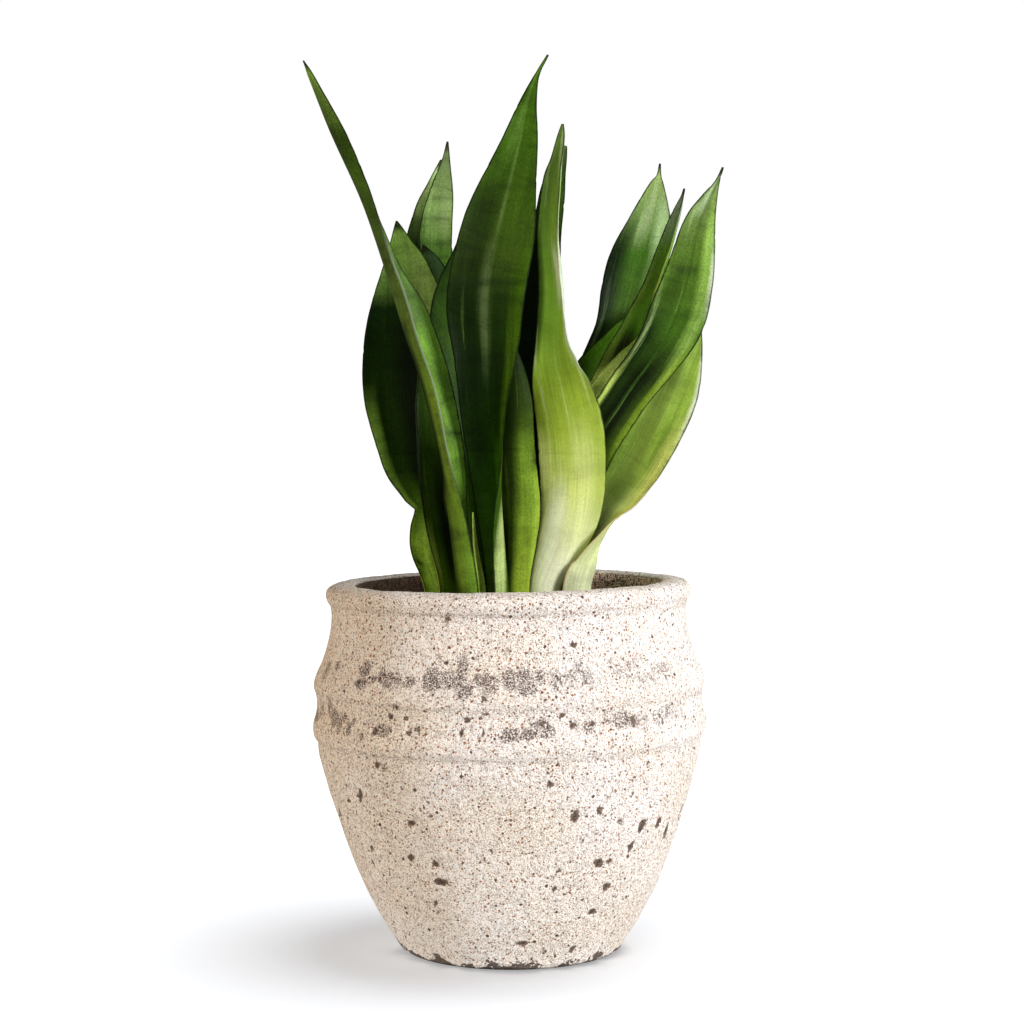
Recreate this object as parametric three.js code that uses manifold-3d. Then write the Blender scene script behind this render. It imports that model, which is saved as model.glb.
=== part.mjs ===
// Moonshine snake plant in a thick stoneware pot.
// Millimetres, +Z up, origin at the middle of the pot's foot, and -Y is the side that is seen first.

import * as THREE from 'three';
import { mergeVertices } from 'three/addons/utils/BufferGeometryUtils.js';
import Module from 'manifold-3d';

const wasm = await Module();
wasm.setup();

// Pot
const POT_HEIGHT = 231.3;
const POT_SIDES = 36;
const FLOOR_HEIGHT = 18;
const BODY_STEPS = 8;
const INSIDE_STEPS = 10;
// The pot was thrown by hand: its upper part slopes up to the right and stands a little to the left.
const RIM_SLOPE = 0.017;
const RIM_SHIFT = 1.4;
const SLOPE_FULL_AT = 130;

// The pot's outline and then its inside, as [radius, height]
const FOOT = [[0, 0], [63, 0], [67.5, 1.2], [70.3, 3.5]];
const BODY = [[72.4, 7], [80.4, 19.5], [92, 41.8], [100.7, 62.9], [108.8, 86], [114.6, 106.5], [119.4, 126]];
const LOWER_RIDGE = [[120.6, 133.5], [122.2, 136.5], [123.2, 141], [122.8, 146], [121.4, 151]];
const UPPER_RIDGE = [[121.1, 161.5], [122.2, 165], [122.6, 170], [121, 175.5], [118, 182]];
const NECK = [[115, 190], [112.4, 200], [111.2, 209], [111.4, 216]];
const LIP = [[112.6, 219], [114.4, 224.5], [113.6, 228], [111.2, 230], [106.5, 231.1], [100.5, POT_HEIGHT]];
const LIP_INSIDE = [[95.8, 229.8], [93.6, 226.8], [93.2, 221.5]];
const INSIDE = [[98, 208], [103, 187], [108.2, 165], [109, 140], [102, 105], [84, 52], [70, 30], [56, FLOOR_HEIGHT]];

// Soil
const SOIL_GAP = 0.45;
const SOIL_EDGE = 207;
const SOIL_TOP = [[94, 211], [70, 212], [42, 213.6], [0, 213.6]];

// Leaves
const LEAF_SEGMENTS = 6;
const RINGS_PER_SPAN = 2;
const EDGE_THICKNESS = 0.8;
const BLADE_THICKNESS = 2.1;
const BASE_THICKNESS = 3.4;
const BASE_SHARE = 0.35;
const SOCKET_GAP = 0.45;

// The waves of the margins
const WAVE_DEPTH = 0.9;
const WAVE_LENGTH = 68;
const WAVE_LAG = 2.1;
const WAVES_FROM = 226;
const WAVES_FULL_AT = 290;
const WAVES_FULL_WIDTH = 12;

const STONEWARE = new THREE.MeshStandardMaterial({ color: 0xdcd3c2, roughness: 0.92, metalness: 0 });
const POTTING_SOIL = new THREE.MeshStandardMaterial({ color: 0x3b2c22, roughness: 1, metalness: 0 });

// Each leaf is a list of stations from its buried end to its tip. A station is
// [x, y, z, half width, turn, curl]: turn is the way the blade faces, 0 for the front and
// positive for the right, and curl bends its two margins forward, or back where it is negative.
const LEAVES = [
  {
    name: 'leaf_left_tall',
    color: 0x4a7a2c,
    path: [
      [-30, -20, 190, 13, 100, 75],
      [-32, -20, 226, 17, 100, 75],
      [-36, -20, 258, 18, 93, 74],
      [-39, -21, 283, 18, 83, 72],
      [-43, -22, 313, 18, 71, 72],
      [-52, -24, 350, 20, 69, 75],
      [-62, -27, 381, 21, 70, 75],
      [-68.5, -29, 401, 19, 73, 73],
      [-77, -32, 427, 13, 86, 66],
      [-90, -37, 465, 12, 96, 50],
      [-108, -43, 506, 12.5, 105, 47],
      [-120, -48, 536, 5, 105, 40],
      [-124.7, -50, 547.5, 0.6, 105, 20],
    ],
  },
  {
    name: 'leaf_shoot',
    color: 0xb7c96a,
    path: [
      [-18, -19, 190, 4, 60, 60],
      [-19.5, -20, 226, 4.5, 60, 60],
      [-22.5, -21, 252, 2.8, 60, 50],
      [-23.6, -21.5, 275, 0.6, 60, 20],
    ],
  },
  {
    name: 'leaf_left_broad',
    color: 0x2f5a1d,
    path: [
      [-46, 19, 190, 12, 25, 75],
      [-49, 19, 226, 12, 25, 75],
      [-55.5, 18, 248, 12.5, 20, 70],
      [-56, 17.5, 262, 12, 18, 65],
      [-53.2, 17, 277, 12, 15, 58],
      [-58.5, 16, 288, 13.5, 12, 45],
      [-61, 15, 300, 19, 8, 36],
      [-62.5, 14.5, 315, 23.5, 5, 30],
      [-66, 16, 347, 27.5, 0, 25],
      [-66, 17.5, 379, 27, 0, 22],
      [-65.5, 19, 407, 22.5, 0, 20],
      [-67, 21, 428, 15, 0, 18],
      [-70, 22, 445, 6.5, 0, 15],
      [-72.5, 23, 457.8, 0.6, 0, 10],
    ],
  },
  {
    name: 'leaf_left_inner',
    color: 0x2d561c,
    path: [
      [-40, 4, 190, 10, 35, 65],
      [-40, 3, 226, 11, 35, 65],
      [-45, 0, 261, 13, 30, 60],
      [-49, -3, 297, 15, 25, 55],
      [-50, -4, 334, 13, 25, 50],
      [-53, -5, 360, 7.5, 25, 45],
      [-55, -6, 377, 2.5, 25, 30],
      [-56, -6.5, 384, 0.6, 25, 20],
    ],
  },
  {
    name: 'leaf_left_small',
    color: 0x3e5f4c,
    path: [
      [-30, 26, 190, 9, 0, 60],
      [-32, 26, 230, 11, 0, 55],
      [-38, 28.5, 300, 15, 0, 35],
      [-44, 31, 370, 17, 0, 25],
      [-47, 33, 405, 14, 0, 20],
      [-51, 33.5, 428, 8.5, 0, 15],
      [-56, 34, 443.5, 0.6, 0, 10],
    ],
  },
  {
    name: 'leaf_back_left_front',
    color: 0x5f8f3d,
    path: [
      [-16, 35, 190, 10, 0, 60],
      [-18, 36, 230, 12, 0, 55],
      [-28, 39, 310, 14, 0, 40],
      [-40, 43, 380, 13, 0, 30],
      [-47.5, 46, 430, 10.5, 0, 25],
      [-48, 49, 457, 10.5, 0, 20],
      [-44.5, 51, 481, 7, 0, 18],
      [-42, 52, 499, 2.6, 0, 15],
      [-41, 53, 511.3, 0.6, 0, 10],
    ],
  },
  {
    name: 'leaf_back_left_rear',
    color: 0x5b8a3d,
    path: [
      [-24, 45, 190, 10, 0, 60],
      [-27, 46, 230, 12, 0, 55],
      [-42, 51, 320, 14, 0, 40],
      [-55, 56, 400, 13.5, 0, 30],
      [-57.5, 59, 440, 11.5, 0, 25],
      [-55, 62, 465, 8.5, 0, 20],
      [-50, 64, 484, 4.5, 0, 15],
      [-45.6, 66, 501, 0.6, 0, 10],
    ],
  },
  {
    name: 'leaf_middle_rear',
    color: 0x33602a,
    path: [
      [-14, 8, 190, 9, 0, 65],
      [-15, 8, 226, 10, 0, 60],
      [-19, 8, 257, 11.5, 0, 45],
      [-22, 7.5, 294, 13, 5, 38],
      [-28, 7, 325, 15, 5, 38],
      [-33, 6.5, 357, 18, 5, 33],
      [-34, 8, 388, 18, 5, 30],
      [-32, 10, 413, 16, 5, 25],
      [-28, 11, 438, 8, 5, 20],
      [-25.5, 12, 462, 0.6, 5, 10],
    ],
  },
  {
    name: 'leaf_middle_tall',
    color: 0x3a6b20,
    path: [
      [-3, -17, 190, 14, -78, 75],
      [-3.3, -18, 226, 17, -78, 75],
      [-5.2, -18, 251, 17, -75, 74],
      [-8.2, -19, 279, 17, -62, 70],
      [-11.3, -20, 306, 16, -42, 62],
      [-14.5, -22, 342, 17.5, -20, 45],
      [-15.1, -24, 376, 21.5, -10, 35],
      [-15.5, -26, 397, 24, -5, 28],
      [-13.6, -27, 420, 24.5, 0, 25],
      [-7.6, -28, 450, 22.7, 3, 24],
      [0.4, -29, 482, 15.8, 5, 22],
      [6, -30, 505, 10.4, 5, 20],
      [10.3, -30, 524, 5.4, 5, 18],
      [15.5, -30, 541, 1.6, 5, 15],
      [22.5, -30, 554, 0.6, 5, 10],
    ],
  },
  {
    name: 'leaf_middle_short',
    color: 0x4d7f26,
    path: [
      [4, -14, 190, 9, 0, -75],
      [4, -15, 227, 9.5, 0, -75],
      [5, -17, 255, 12, 0, -55],
      [5.5, -19, 283, 13.5, 0, -40],
      [3, -20, 320, 12, 0, -32],
      [3, -20, 344, 10, 0, -30],
      [1.8, -19, 363, 7, 0, -25],
      [0.6, -18, 380, 0.6, 0, -10],
    ],
  },
  {
    name: 'leaf_front_bright',
    color: 0x8fae45,
    path: [
      [19, -9, 190, 11, 0, -75],
      [20.5, -10, 226, 13.5, 0, -72],
      [31, -13, 255, 18, 0, -50],
      [37.5, -14, 283, 21, -5, -40],
      [37, -16, 318, 22, -8, -28],
      [31, -18, 350, 19.5, -18, -8],
      [28, -20, 366, 15.5, -28, 12],
      [27, -21, 381, 13, -38, 30],
      [28.5, -24, 411, 13, -50, 52],
      [25.5, -27, 447, 10.5, -50, 60],
      [27.5, -29, 477, 8.5, -45, 60],
      [29, -30, 491, 5, -40, 50],
      [30.8, -31, 506, 2.2, -30, 30],
      [31.5, -31.5, 512, 0.8, -30, 20],
    ],
  },
  {
    name: 'leaf_middle_shaded',
    color: 0x1f3f14,
    path: [
      [8, 16, 190, 10, 0, 65],
      [9, 15, 226, 12, 0, 60],
      [12, 12, 280, 14, 0, 50],
      [14, 10, 340, 14.5, 0, 40],
      [17, 9, 395, 13.5, 0, 35],
      [22, 10, 445, 10, 0, 30],
      [26, 12, 475, 7.8, 0, 25],
      [31, 13, 495, 4, 0, 20],
      [34.4, 14, 504, 1, 0, 15],
    ],
  },
  {
    name: 'leaf_right_tall',
    color: 0x437a22,
    path: [
      [30, 8, 190, 11, -20, 70],
      [32, 6, 226, 12.5, -20, 65],
      [38, 5, 270, 14, -10, 55],
      [50, 4, 312, 15, 0, 45],
      [70, 2, 345, 15, 5, 35],
      [88, 0, 370, 16.5, 5, 30],
      [102, -2, 394, 18.5, 5, 26],
      [109.7, -4, 419, 16.4, 5, 24],
      [115.8, -6, 450, 11, 5, 22],
      [122.5, -7, 468, 5.4, 5, 20],
      [127.6, -8, 479, 1.6, 5, 15],
      [131.2, -9, 488.2, 0.6, 0, 10],
    ],
  },
  {
    name: 'leaf_right_low',
    color: 0x6d9a35,
    path: [
      [46, 0, 190, 18, -100, 80],
      [48.3, -2, 226, 23, -100, 80],
      [52.3, -1, 241, 20, -95, 75],
      [54, 1.5, 258, 20, -55, 65],
      [58.5, 4, 272, 19, -38, 50],
      [67.5, 6, 284, 18, -25, 42],
      [81.5, 8, 305, 18.5, -15, 36],
      [93.5, 11, 330, 18.5, -8, 30],
      [104, 14, 353, 15.5, -5, 26],
      [112.5, 18, 374, 9, 0, 22],
      [117, 21, 388, 4, 0, 18],
      [120, 23, 398, 0.6, 0, 10],
    ],
  },
  {
    name: 'leaf_right_folded',
    color: 0x7d9c3f,
    path: [
      [33, 25, 190, 11, -80, 70],
      [34, 25, 226, 13, -80, 70],
      [41, 24, 280, 16, -85, 70],
      [56, 24.5, 335, 22, -93, 76],
      [64, 25, 352, 23, -88, 74],
      [72, 25.5, 368, 20, -75, 68],
      [79.5, 26, 384, 15, -58, 58],
      [86, 27, 402, 11, -52, 55],
      [93, 28, 418, 10, -58, 58],
      [100, 29, 440, 8.5, -60, 60],
      [106, 30, 461, 5.5, -60, 55],
      [109.3, 31, 474, 1.6, -60, 40],
      [110.2, 31, 479, 0.6, -60, 20],
    ],
  },
  {
    name: 'leaf_right_short',
    color: 0x2c5519,
    path: [
      [12, 36, 190, 9, 0, 60],
      [14, 37, 226, 10, 0, 55],
      [24, 45, 290, 12, 0, 45],
      [37, 49, 336, 13, 0, 35],
      [52, 50, 360, 13, 0, 30],
      [65, 51, 376, 12, 0, 28],
      [77, 51, 390, 9, 0, 25],
      [87, 51, 402, 4, 0, 20],
      [94, 51, 411, 0.6, 0, 10],
    ],
  },
  {
    name: 'leaf_right_rear',
    color: 0x4f8136,
    path: [
      [4, 48, 190, 10, 0, 60],
      [7, 50, 226, 12, 0, 55],
      [24, 58, 290, 14, 0, 45],
      [50, 62, 345, 16, 0, 35],
      [70, 64, 385, 17.5, 0, 28],
      [77.9, 66, 412, 20.6, 0, 25],
      [84.3, 68, 438, 19.3, 0, 22],
      [91, 69, 463, 13.3, 0, 20],
      [95.2, 70, 485, 4.8, 0, 15],
      [96.5, 70, 491, 1.6, 0, 12],
      [97.2, 70, 499, 0.6, 0, 10],
    ],
  },
];

const { degToRad: rad, lerp, smoothstep } = THREE.MathUtils;

// Replaces the corners of a list of [radius, height] points by a smooth line of evenly spaced ones
function smoothProfile(points, steps) {
  const curve = new THREE.SplineCurve(points.map(([r, h]) => new THREE.Vector2(r, h)));
  return curve.getPoints(steps).map((p) => [p.x, p.y]);
}

function lathe(profile) {
  const geometry = new THREE.LatheGeometry(profile.map(([r, h]) => new THREE.Vector2(r, h)), POT_SIDES);
  geometry.rotateX(Math.PI / 2);
  geometry.deleteAttribute('normal');
  geometry.deleteAttribute('uv');
  return mergeVertices(geometry, 1e-3);
}

// Slopes and shifts what was turned on a true axis, more and more with its height
function lean(geometry) {
  const position = geometry.attributes.position;
  for (let i = 0; i < position.count; i += 1) {
    const x = position.getX(i);
    const z = position.getZ(i);
    position.setZ(i, z + RIM_SLOPE * x * smoothstep(z, 0, SLOPE_FULL_AT));
    position.setX(i, x - RIM_SHIFT * smoothstep(z, 0, POT_HEIGHT));
  }
  return geometry;
}

function insideWall() {
  return smoothProfile([LIP_INSIDE.at(-1), ...INSIDE], INSIDE_STEPS).slice(1);
}

function makePot() {
  const body = smoothProfile(BODY, BODY_STEPS);
  const outside = [...FOOT, ...body, ...LOWER_RIDGE, ...UPPER_RIDGE, ...NECK, ...LIP, ...LIP_INSIDE];
  return lean(lathe([...outside, ...insideWall(), [0, FLOOR_HEIGHT]]));
}

// Where one leaf is at a place u along it, from 0 at its buried end to 1 at its tip
function leafCurves(path) {
  const spine = path.map(([x, y, z]) => new THREE.Vector3(x, y, z));
  const shape = path.map(([, , , half, turn, curl]) => new THREE.Vector3(half, turn, curl));
  return {
    spine: new THREE.CatmullRomCurve3(spine, false, 'catmullrom', 0.5),
    shape: new THREE.CatmullRomCurve3(shape, false, 'catmullrom', 0.5),
  };
}

// The blade's two faces at one place: a bent section, thick at the midrib and thin at the margins
function leafRing({ spine, shape }, u, grow) {
  const centre = spine.getPoint(u);
  const along = spine.getTangent(u);
  const { x: half, y: turn, z: curl } = shape.getPoint(u);
  const across = new THREE.Vector3(Math.cos(rad(turn)), Math.sin(rad(turn)), 0);
  across.addScaledVector(along, -across.dot(along)).normalize();
  const facing = new THREE.Vector3().crossVectors(across, along);
  const width = Math.max(half, 0.6) + grow;
  const bend = Math.abs(curl) < 1 ? rad(1) : rad(curl);
  const radius = width / bend;
  const middle = lerp(BASE_THICKNESS, BLADE_THICKNESS, smoothstep(u, 0, BASE_SHARE));
  const thickest = Math.min(middle, Math.max(EDGE_THICKNESS, half / 2));
  const waving = smoothstep(centre.z, WAVES_FROM, WAVES_FULL_AT) * Math.min(1, half / WAVES_FULL_WIDTH);
  const phase = (2 * Math.PI * u * spine.getLength()) / WAVE_LENGTH;
  const front = [];
  const back = [];
  for (let i = 0; i <= LEAF_SEGMENTS; i += 1) {
    const s = (2 * i) / LEAF_SEGMENTS - 1;
    const angle = s * bend;
    const wave = WAVE_DEPTH * waving * s * s * Math.sin(phase + (s > 0 ? WAVE_LAG : 0));
    const normal = new THREE.Vector3();
    normal.addScaledVector(across, -Math.sin(angle)).addScaledVector(facing, Math.cos(angle));
    const point = centre.clone().addScaledVector(normal, wave);
    point.addScaledVector(across, radius * Math.sin(angle));
    point.addScaledVector(facing, radius * (1 - Math.cos(angle)));
    const thick = lerp(thickest, EDGE_THICKNESS, s * s) / 2 + grow;
    front.push(point.clone().addScaledVector(normal, thick));
    back.push(point.clone().addScaledVector(normal, -thick));
  }
  return [...front, ...back];
}

// Skins a row of rings into one closed blade, split into triangles alike on both faces
function skin(rings) {
  const row = LEAF_SEGMENTS + 1;
  const size = 2 * row;
  const index = [];
  const quad = (a, b, c, d) => index.push(a, b, c, a, c, d);
  for (let k = 0; k < rings.length - 1; k += 1) {
    const low = k * size;
    const high = low + size;
    for (let i = 0; i < LEAF_SEGMENTS; i += 1) {
      quad(low + i, low + i + 1, high + i + 1, high + i);
      quad(low + row + i, high + row + i, high + row + i + 1, low + row + i + 1);
    }
    quad(low, high, high + row, low + row);
    quad(low + row - 1, low + size - 1, high + size - 1, high + row - 1);
  }
  const top = (rings.length - 1) * size;
  for (let i = 0; i < LEAF_SEGMENTS; i += 1) {
    quad(i, row + i, row + i + 1, i + 1);
    quad(top + i, top + i + 1, top + row + i + 1, top + row + i);
  }
  const geometry = new THREE.BufferGeometry();
  const flat = rings.flat().flatMap((p) => [p.x, p.y, p.z]);
  geometry.setAttribute('position', new THREE.Float32BufferAttribute(flat, 3));
  geometry.setIndex(index);
  return geometry;
}

function makeLeaf({ path }) {
  const curves = leafCurves(path);
  const count = (path.length - 1) * RINGS_PER_SPAN;
  const rings = [];
  for (let k = 0; k <= count; k += 1) rings.push(leafRing(curves, k / count, 0));
  return skin(rings);
}

// The plain hole that a leaf stands in: its buried stretch, a little larger all round
function makeSocket({ path }) {
  const curves = leafCurves(path);
  const count = (path.length - 1) * RINGS_PER_SPAN;
  const rings = [];
  for (let k = 0; k <= RINGS_PER_SPAN; k += 1) rings.push(leafRing(curves, k / count, SOCKET_GAP));
  rings[0].forEach((point) => point.setZ(point.z - SOCKET_GAP));
  return skin(rings);
}

function toSolid(geometry) {
  const mesh = new wasm.Mesh({
    numProp: 3,
    vertProperties: new Float32Array(geometry.attributes.position.array),
    triVerts: new Uint32Array(geometry.index.array),
  });
  return new wasm.Manifold(mesh);
}

function toGeometry(solid) {
  const mesh = solid.getMesh();
  const geometry = new THREE.BufferGeometry();
  geometry.setAttribute('position', new THREE.Float32BufferAttribute(mesh.vertProperties, 3));
  geometry.setIndex(Array.from(mesh.triVerts));
  return geometry;
}

function makeSoil() {
  const wall = insideWall().filter(([, h]) => h < SOIL_EDGE).reverse();
  const side = wall.map(([r, h]) => [r - SOIL_GAP, Math.max(h, FLOOR_HEIGHT + SOIL_GAP)]);
  let soil = toSolid(lean(lathe([[0, FLOOR_HEIGHT + SOIL_GAP], ...side, ...SOIL_TOP])));
  LEAVES.forEach((leaf) => {
    soil = soil.subtract(toSolid(makeSocket(leaf)));
  });
  return toGeometry(soil);
}

const plant = new THREE.Group();

function addMesh(name, geometry, material) {
  geometry.computeVertexNormals();
  const mesh = new THREE.Mesh(geometry, material);
  mesh.name = name;
  plant.add(mesh);
}

addMesh('pot', makePot(), STONEWARE);
addMesh('soil', makeSoil(), POTTING_SOIL);
LEAVES.forEach((leaf) => {
  const blade = new THREE.MeshStandardMaterial({ color: leaf.color, roughness: 0.42, metalness: 0 });
  addMesh(leaf.name, makeLeaf(leaf), blade);
});

export default plant;
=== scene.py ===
"""A moonshine snake plant in a rough stoneware pot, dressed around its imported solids."""

import functools
import math

import bmesh
import bpy
import numpy as np
from bpy.props import FloatProperty, FloatVectorProperty, IntProperty, PointerProperty
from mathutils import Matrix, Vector, noise


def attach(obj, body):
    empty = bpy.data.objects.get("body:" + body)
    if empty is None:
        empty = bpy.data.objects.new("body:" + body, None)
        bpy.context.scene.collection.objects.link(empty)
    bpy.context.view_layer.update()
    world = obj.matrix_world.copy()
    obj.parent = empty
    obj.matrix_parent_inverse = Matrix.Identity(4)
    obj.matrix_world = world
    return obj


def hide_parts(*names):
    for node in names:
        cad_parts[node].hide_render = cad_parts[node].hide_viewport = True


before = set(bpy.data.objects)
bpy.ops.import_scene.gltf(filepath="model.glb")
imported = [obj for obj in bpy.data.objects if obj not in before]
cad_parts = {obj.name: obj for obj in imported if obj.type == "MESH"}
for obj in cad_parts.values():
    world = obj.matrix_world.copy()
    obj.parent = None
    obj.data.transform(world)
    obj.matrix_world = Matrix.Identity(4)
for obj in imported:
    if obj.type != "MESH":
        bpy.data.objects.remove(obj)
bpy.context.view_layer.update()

bl_info = {
    "name": "Potted Snake Plant",
    "version": (1, 0, 0),
    "blender": (4, 5, 0),
    "location": "3D View > Sidebar > Snake Plant",
    "description": "Makes a moonshine snake plant in a stoneware pot, piece by piece",
    "category": "Add Mesh",
}

MM = 0.001

# The stage: the floor's half side and how far it lies under the pot, and where the camera stands, all
# in metres, the camera's tip downwards in degrees, and its lens in millimetres
FLOOR_REACH = 6.0
FLOOR_GAP = 0.0002
CAMERA_PLACE = (0.0006, -1.45, 0.334)
CAMERA_TIP = 2.36
LENS_LENGTH = 81.42
SENSOR_WIDTH = 36

# ---------------------------------------------------------------------------------------------
# The pot, in millimetres: its outline from the foot up, over the lip and down inside
# ---------------------------------------------------------------------------------------------

POT_HEIGHT = 231.3
FLOOR_HEIGHT = 18
RIM_SLOPE = 0.017
RIM_SHIFT = 1.4
SLOPE_FULL_AT = 130

FOOT = [(63, 0), (67.5, 1.2), (70.3, 3.5)]
BODY = [(72.4, 7), (80.4, 19.5), (92, 41.8), (100.7, 62.9), (108.8, 86), (114.6, 106.5), (119.4, 126)]
LOWER_RIDGE = [(120.6, 133.5), (122.2, 136.5), (123.2, 141), (122.8, 146), (121.4, 151)]
UPPER_RIDGE = [(121.1, 161.5), (122.2, 165), (122.6, 170), (121, 175.5), (118, 182)]
NECK = [(115, 190), (112.4, 200), (111.2, 209), (111.4, 216)]
LIP = [(112.6, 219), (114.4, 224.5), (113.6, 228), (111.2, 230), (106.5, 231.1), (100.5, POT_HEIGHT)]
LIP_INSIDE = [(95.8, 229.8), (93.6, 226.8), (93.2, 221.5)]
INSIDE = [(98, 208), (103, 187), (108.2, 165), (109, 140), (102, 105), (84, 52), (70, 30), (56, FLOOR_HEIGHT)]

# The larger pits where the glaze and grit fell out: angle from the front, height, half width, half height
PITS = [
    (-24.7, 58.9, 4.3, 2.5), (-34.4, 72.6, 2.9, 2.5), (-31.5, 95.8, 3.3, 2.2), (-25.3, 70.9, 2.0, 2.3),
    (-6.5, 80, 1.8, 1.8), (-28.7, 44.6, 1.9, 1.7), (-51.5, 108.4, 2.4, 3.2), (-52.9, 74.7, 2.2, 2.1),
    (-55.4, 64.4, 1.8, 2.1), (11.4, 120.9, 2.2, 2.2), (19.7, 100.4, 2.7, 3.5), (28, 102.7, 2.8, 2.8),
    (35.8, 93.6, 2.1, 2.0), (45.8, 88.6, 3.2, 4.6), (54.9, 87.9, 2.8, 3.4), (62.5, 81.2, 2.6, 5),
    (74.4, 88.8, 3, 6), (43.1, 76.2, 2.2, 4), (30.4, 69.2, 3.3, 3.4), (34.7, 69.5, 1.8, 2.1),
    (15.8, 66, 2.0, 1.8), (36.2, 53.2, 3, 2.4), (15.2, 54.5, 1.4, 2.3), (32.9, 37.8, 3.4, 2.2),
    (4.8, 19.5, 3.4, 2.1), (29.2, 13, 2.6, 2.4), (-18.7, 191.5, 1.6, 1.7), (-7, 171.1, 1.9, 2.3),
    (-48.4, 178, 2.2, 1.4), (-45.4, 146.5, 1.7, 1.7), (-41.3, 149.4, 2, 1.5), (-39.9, 150.9, 1.9, 1.4),
    (-35.4, 159.8, 2.1, 2), (-32.8, 164.9, 1.5, 1.3), (-28.8, 150.7, 2.1, 2.9), (-25.8, 152.1, 1.3, 2.3),
    (-11.5, 158.8, 2.1, 2), (-7.9, 160, 1.5, 1.9), (-13.1, 152.3, 1.8, 2.3), (-7.3, 152.4, 1.5, 2.3),
    (-40.5, 129.9, 1.9, 2.6), (-50.6, 110.4, 1.8, 3.5), (-18.8, 216.3, 1.8, 1.9), (-46.3, 224.8, 1.8, 1.4),
    (0.6, 149.5, 1.5, 1.4), (9.1, 156.4, 1.8, 1.7), (14.7, 160, 2, 2), (17.7, 154.4, 1.9, 1.5),
    (23.8, 155.4, 1.1, 2.1), (35.5, 190.5, 1.4, 1.2), (20, 201, 2.2, 2.1), (51.7, 177.3, 1.4, 2),
    (13.4, 132.1, 1.2, 1.2), (43.3, 127.9, 1.3, 1.2), (36.9, 154.9, 1.5, 2.1), (49, 150.6, 1.2, 1.7),
    (-58.6, 103.4, 1.8, 1.2),
]

# The grey smudges of the two bands: angle from the front, height, half width, half height, strength
SMUDGES = [
    (-62.6, 184.9, 3.8, 2.9, 0.6), (-47.2, 185.6, 4.3, 4.1, 0.9), (-47, 177.6, 5.1, 2.9, 0.9),
    (-42.4, 179.4, 2, 2.9, 0.7), (-39.5, 182.6, 2.6, 5.2, 0.7), (-35.4, 180.2, 6.4, 4.1, 0.8),
    (-29.5, 180.2, 4, 2.9, 0.8), (-22.4, 181.8, 5, 5.8, 0.9), (-20.5, 193.1, 1.5, 2.3, 0.7),
    (-17, 181.5, 6.1, 4.6, 0.8), (-13.3, 184.4, 3, 11, 0.9), (-12.3, 175.5, 3.6, 4.6, 0.9),
    (-8.3, 181.1, 3.5, 4.1, 0.8), (-5.5, 180, 5.2, 5.2, 0.8), (-9, 195.1, 1.5, 1.7, 0.6),
    (-0.5, 197.8, 2, 2, 0.5), (0.4, 182, 4.1, 5.2, 0.8), (4.3, 181.9, 3.5, 5.8, 0.95),
    (5, 176.9, 4.7, 3.5, 0.9), (8.6, 183.8, 2.3, 4.6, 0.8), (13.4, 181.2, 3.6, 5.8, 0.6),
    (17.5, 180.9, 5.5, 4.1, 0.5), (21, 187.8, 3.7, 3.5, 0.55), (23, 181.4, 5.7, 4.6, 0.48),
    (31.3, 188.3, 3.4, 3.5, 0.4), (35.8, 184.2, 8.6, 5.2, 0.4), (41.6, 178.1, 11.6, 5.2, 0.4),
    (41.8, 187.8, 7.8, 4.1, 0.38), (50.6, 182.2, 11.9, 4.6, 0.4), (64.7, 187.2, 10.9, 5.8, 0.22),
    (-63.4, 159.4, 3.9, 5.2, 0.7), (-60.4, 154.1, 4.7, 4.6, 0.85), (-56.9, 150.1, 2.7, 3.5, 1),
    (-55, 155.8, 3, 2.9, 0.8), (-51.7, 149.4, 2.3, 3.5, 1), (-49.9, 154.5, 1.8, 1.7, 0.8),
    (-38.8, 151.1, 4.5, 2.6, 1), (-36.3, 150.9, 3.6, 2.9, 0.7), (-0.2, 150.1, 4.6, 3.5, 0.95),
    (2.2, 150.5, 3.5, 2.9, 0.9), (5, 150.9, 4.7, 2.6, 1), (8.6, 156.5, 3.5, 2.3, 0.95),
    (9.9, 152.3, 4.7, 3.5, 0.9), (22.6, 152.6, 4.4, 4.1, 0.65), (28.2, 156.5, 3.9, 4.6, 0.45),
    (32.8, 155.7, 6.2, 4.6, 0.7), (36.9, 153.7, 2.9, 3.5, 0.8), (40.6, 153, 4.6, 4.6, 0.55),
    (47.2, 153.9, 5.1, 4.1, 0.55), (52, 157, 7.5, 4.1, 0.5), (57.4, 155.1, 8.6, 5.8, 0.33),
    (-18.1, 165.6, 2.4, 1.4, 0.5), (-6.5, 162.9, 2.3, 1.7, 0.6), (-38.3, 128.5, 2.2, 2.3, 0.6),
    (-72, 157, 6, 6, 0.5), (-70, 181, 6, 6, 0.5),
]

# Narrow thrown grooves round the pot: height and depth
GROOVES = [(134.2, 0.6), (164.2, 0.45), (218.2, 0.7)]
GROOVE_WIDTH = 1.3
PIT_DEPTH = 0.7
CHIP_DEPTH = 2.2
FAR_FROM_PITS = 9

# ---------------------------------------------------------------------------------------------
# The leaves, in millimetres: stations of [x, y, z, half width, turn, curl] as in their solids
# ---------------------------------------------------------------------------------------------

EDGE_THICKNESS = 0.8
BLADE_THICKNESS = 2.1
BASE_THICKNESS = 3.4
BASE_SHARE = 0.35
WAVE_DEPTH = 0.9
WAVE_LENGTH = 68
WAVE_LAG = 2.1
WAVES_FROM = 226
WAVES_FULL_AT = 290
WAVES_FULL_WIDTH = 12
FLUTTER_DEPTH = 0.22
FLUTTER_LENGTH = 19
NICK_DEPTH = 0.9
NICK_SPACING = 13
MARGIN_ROUNDING = 0.28

# The heights, in metres, between which a leaf's colours are laid out
RAMP_FROM, RAMP_TO = 0.2, 0.56

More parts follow.
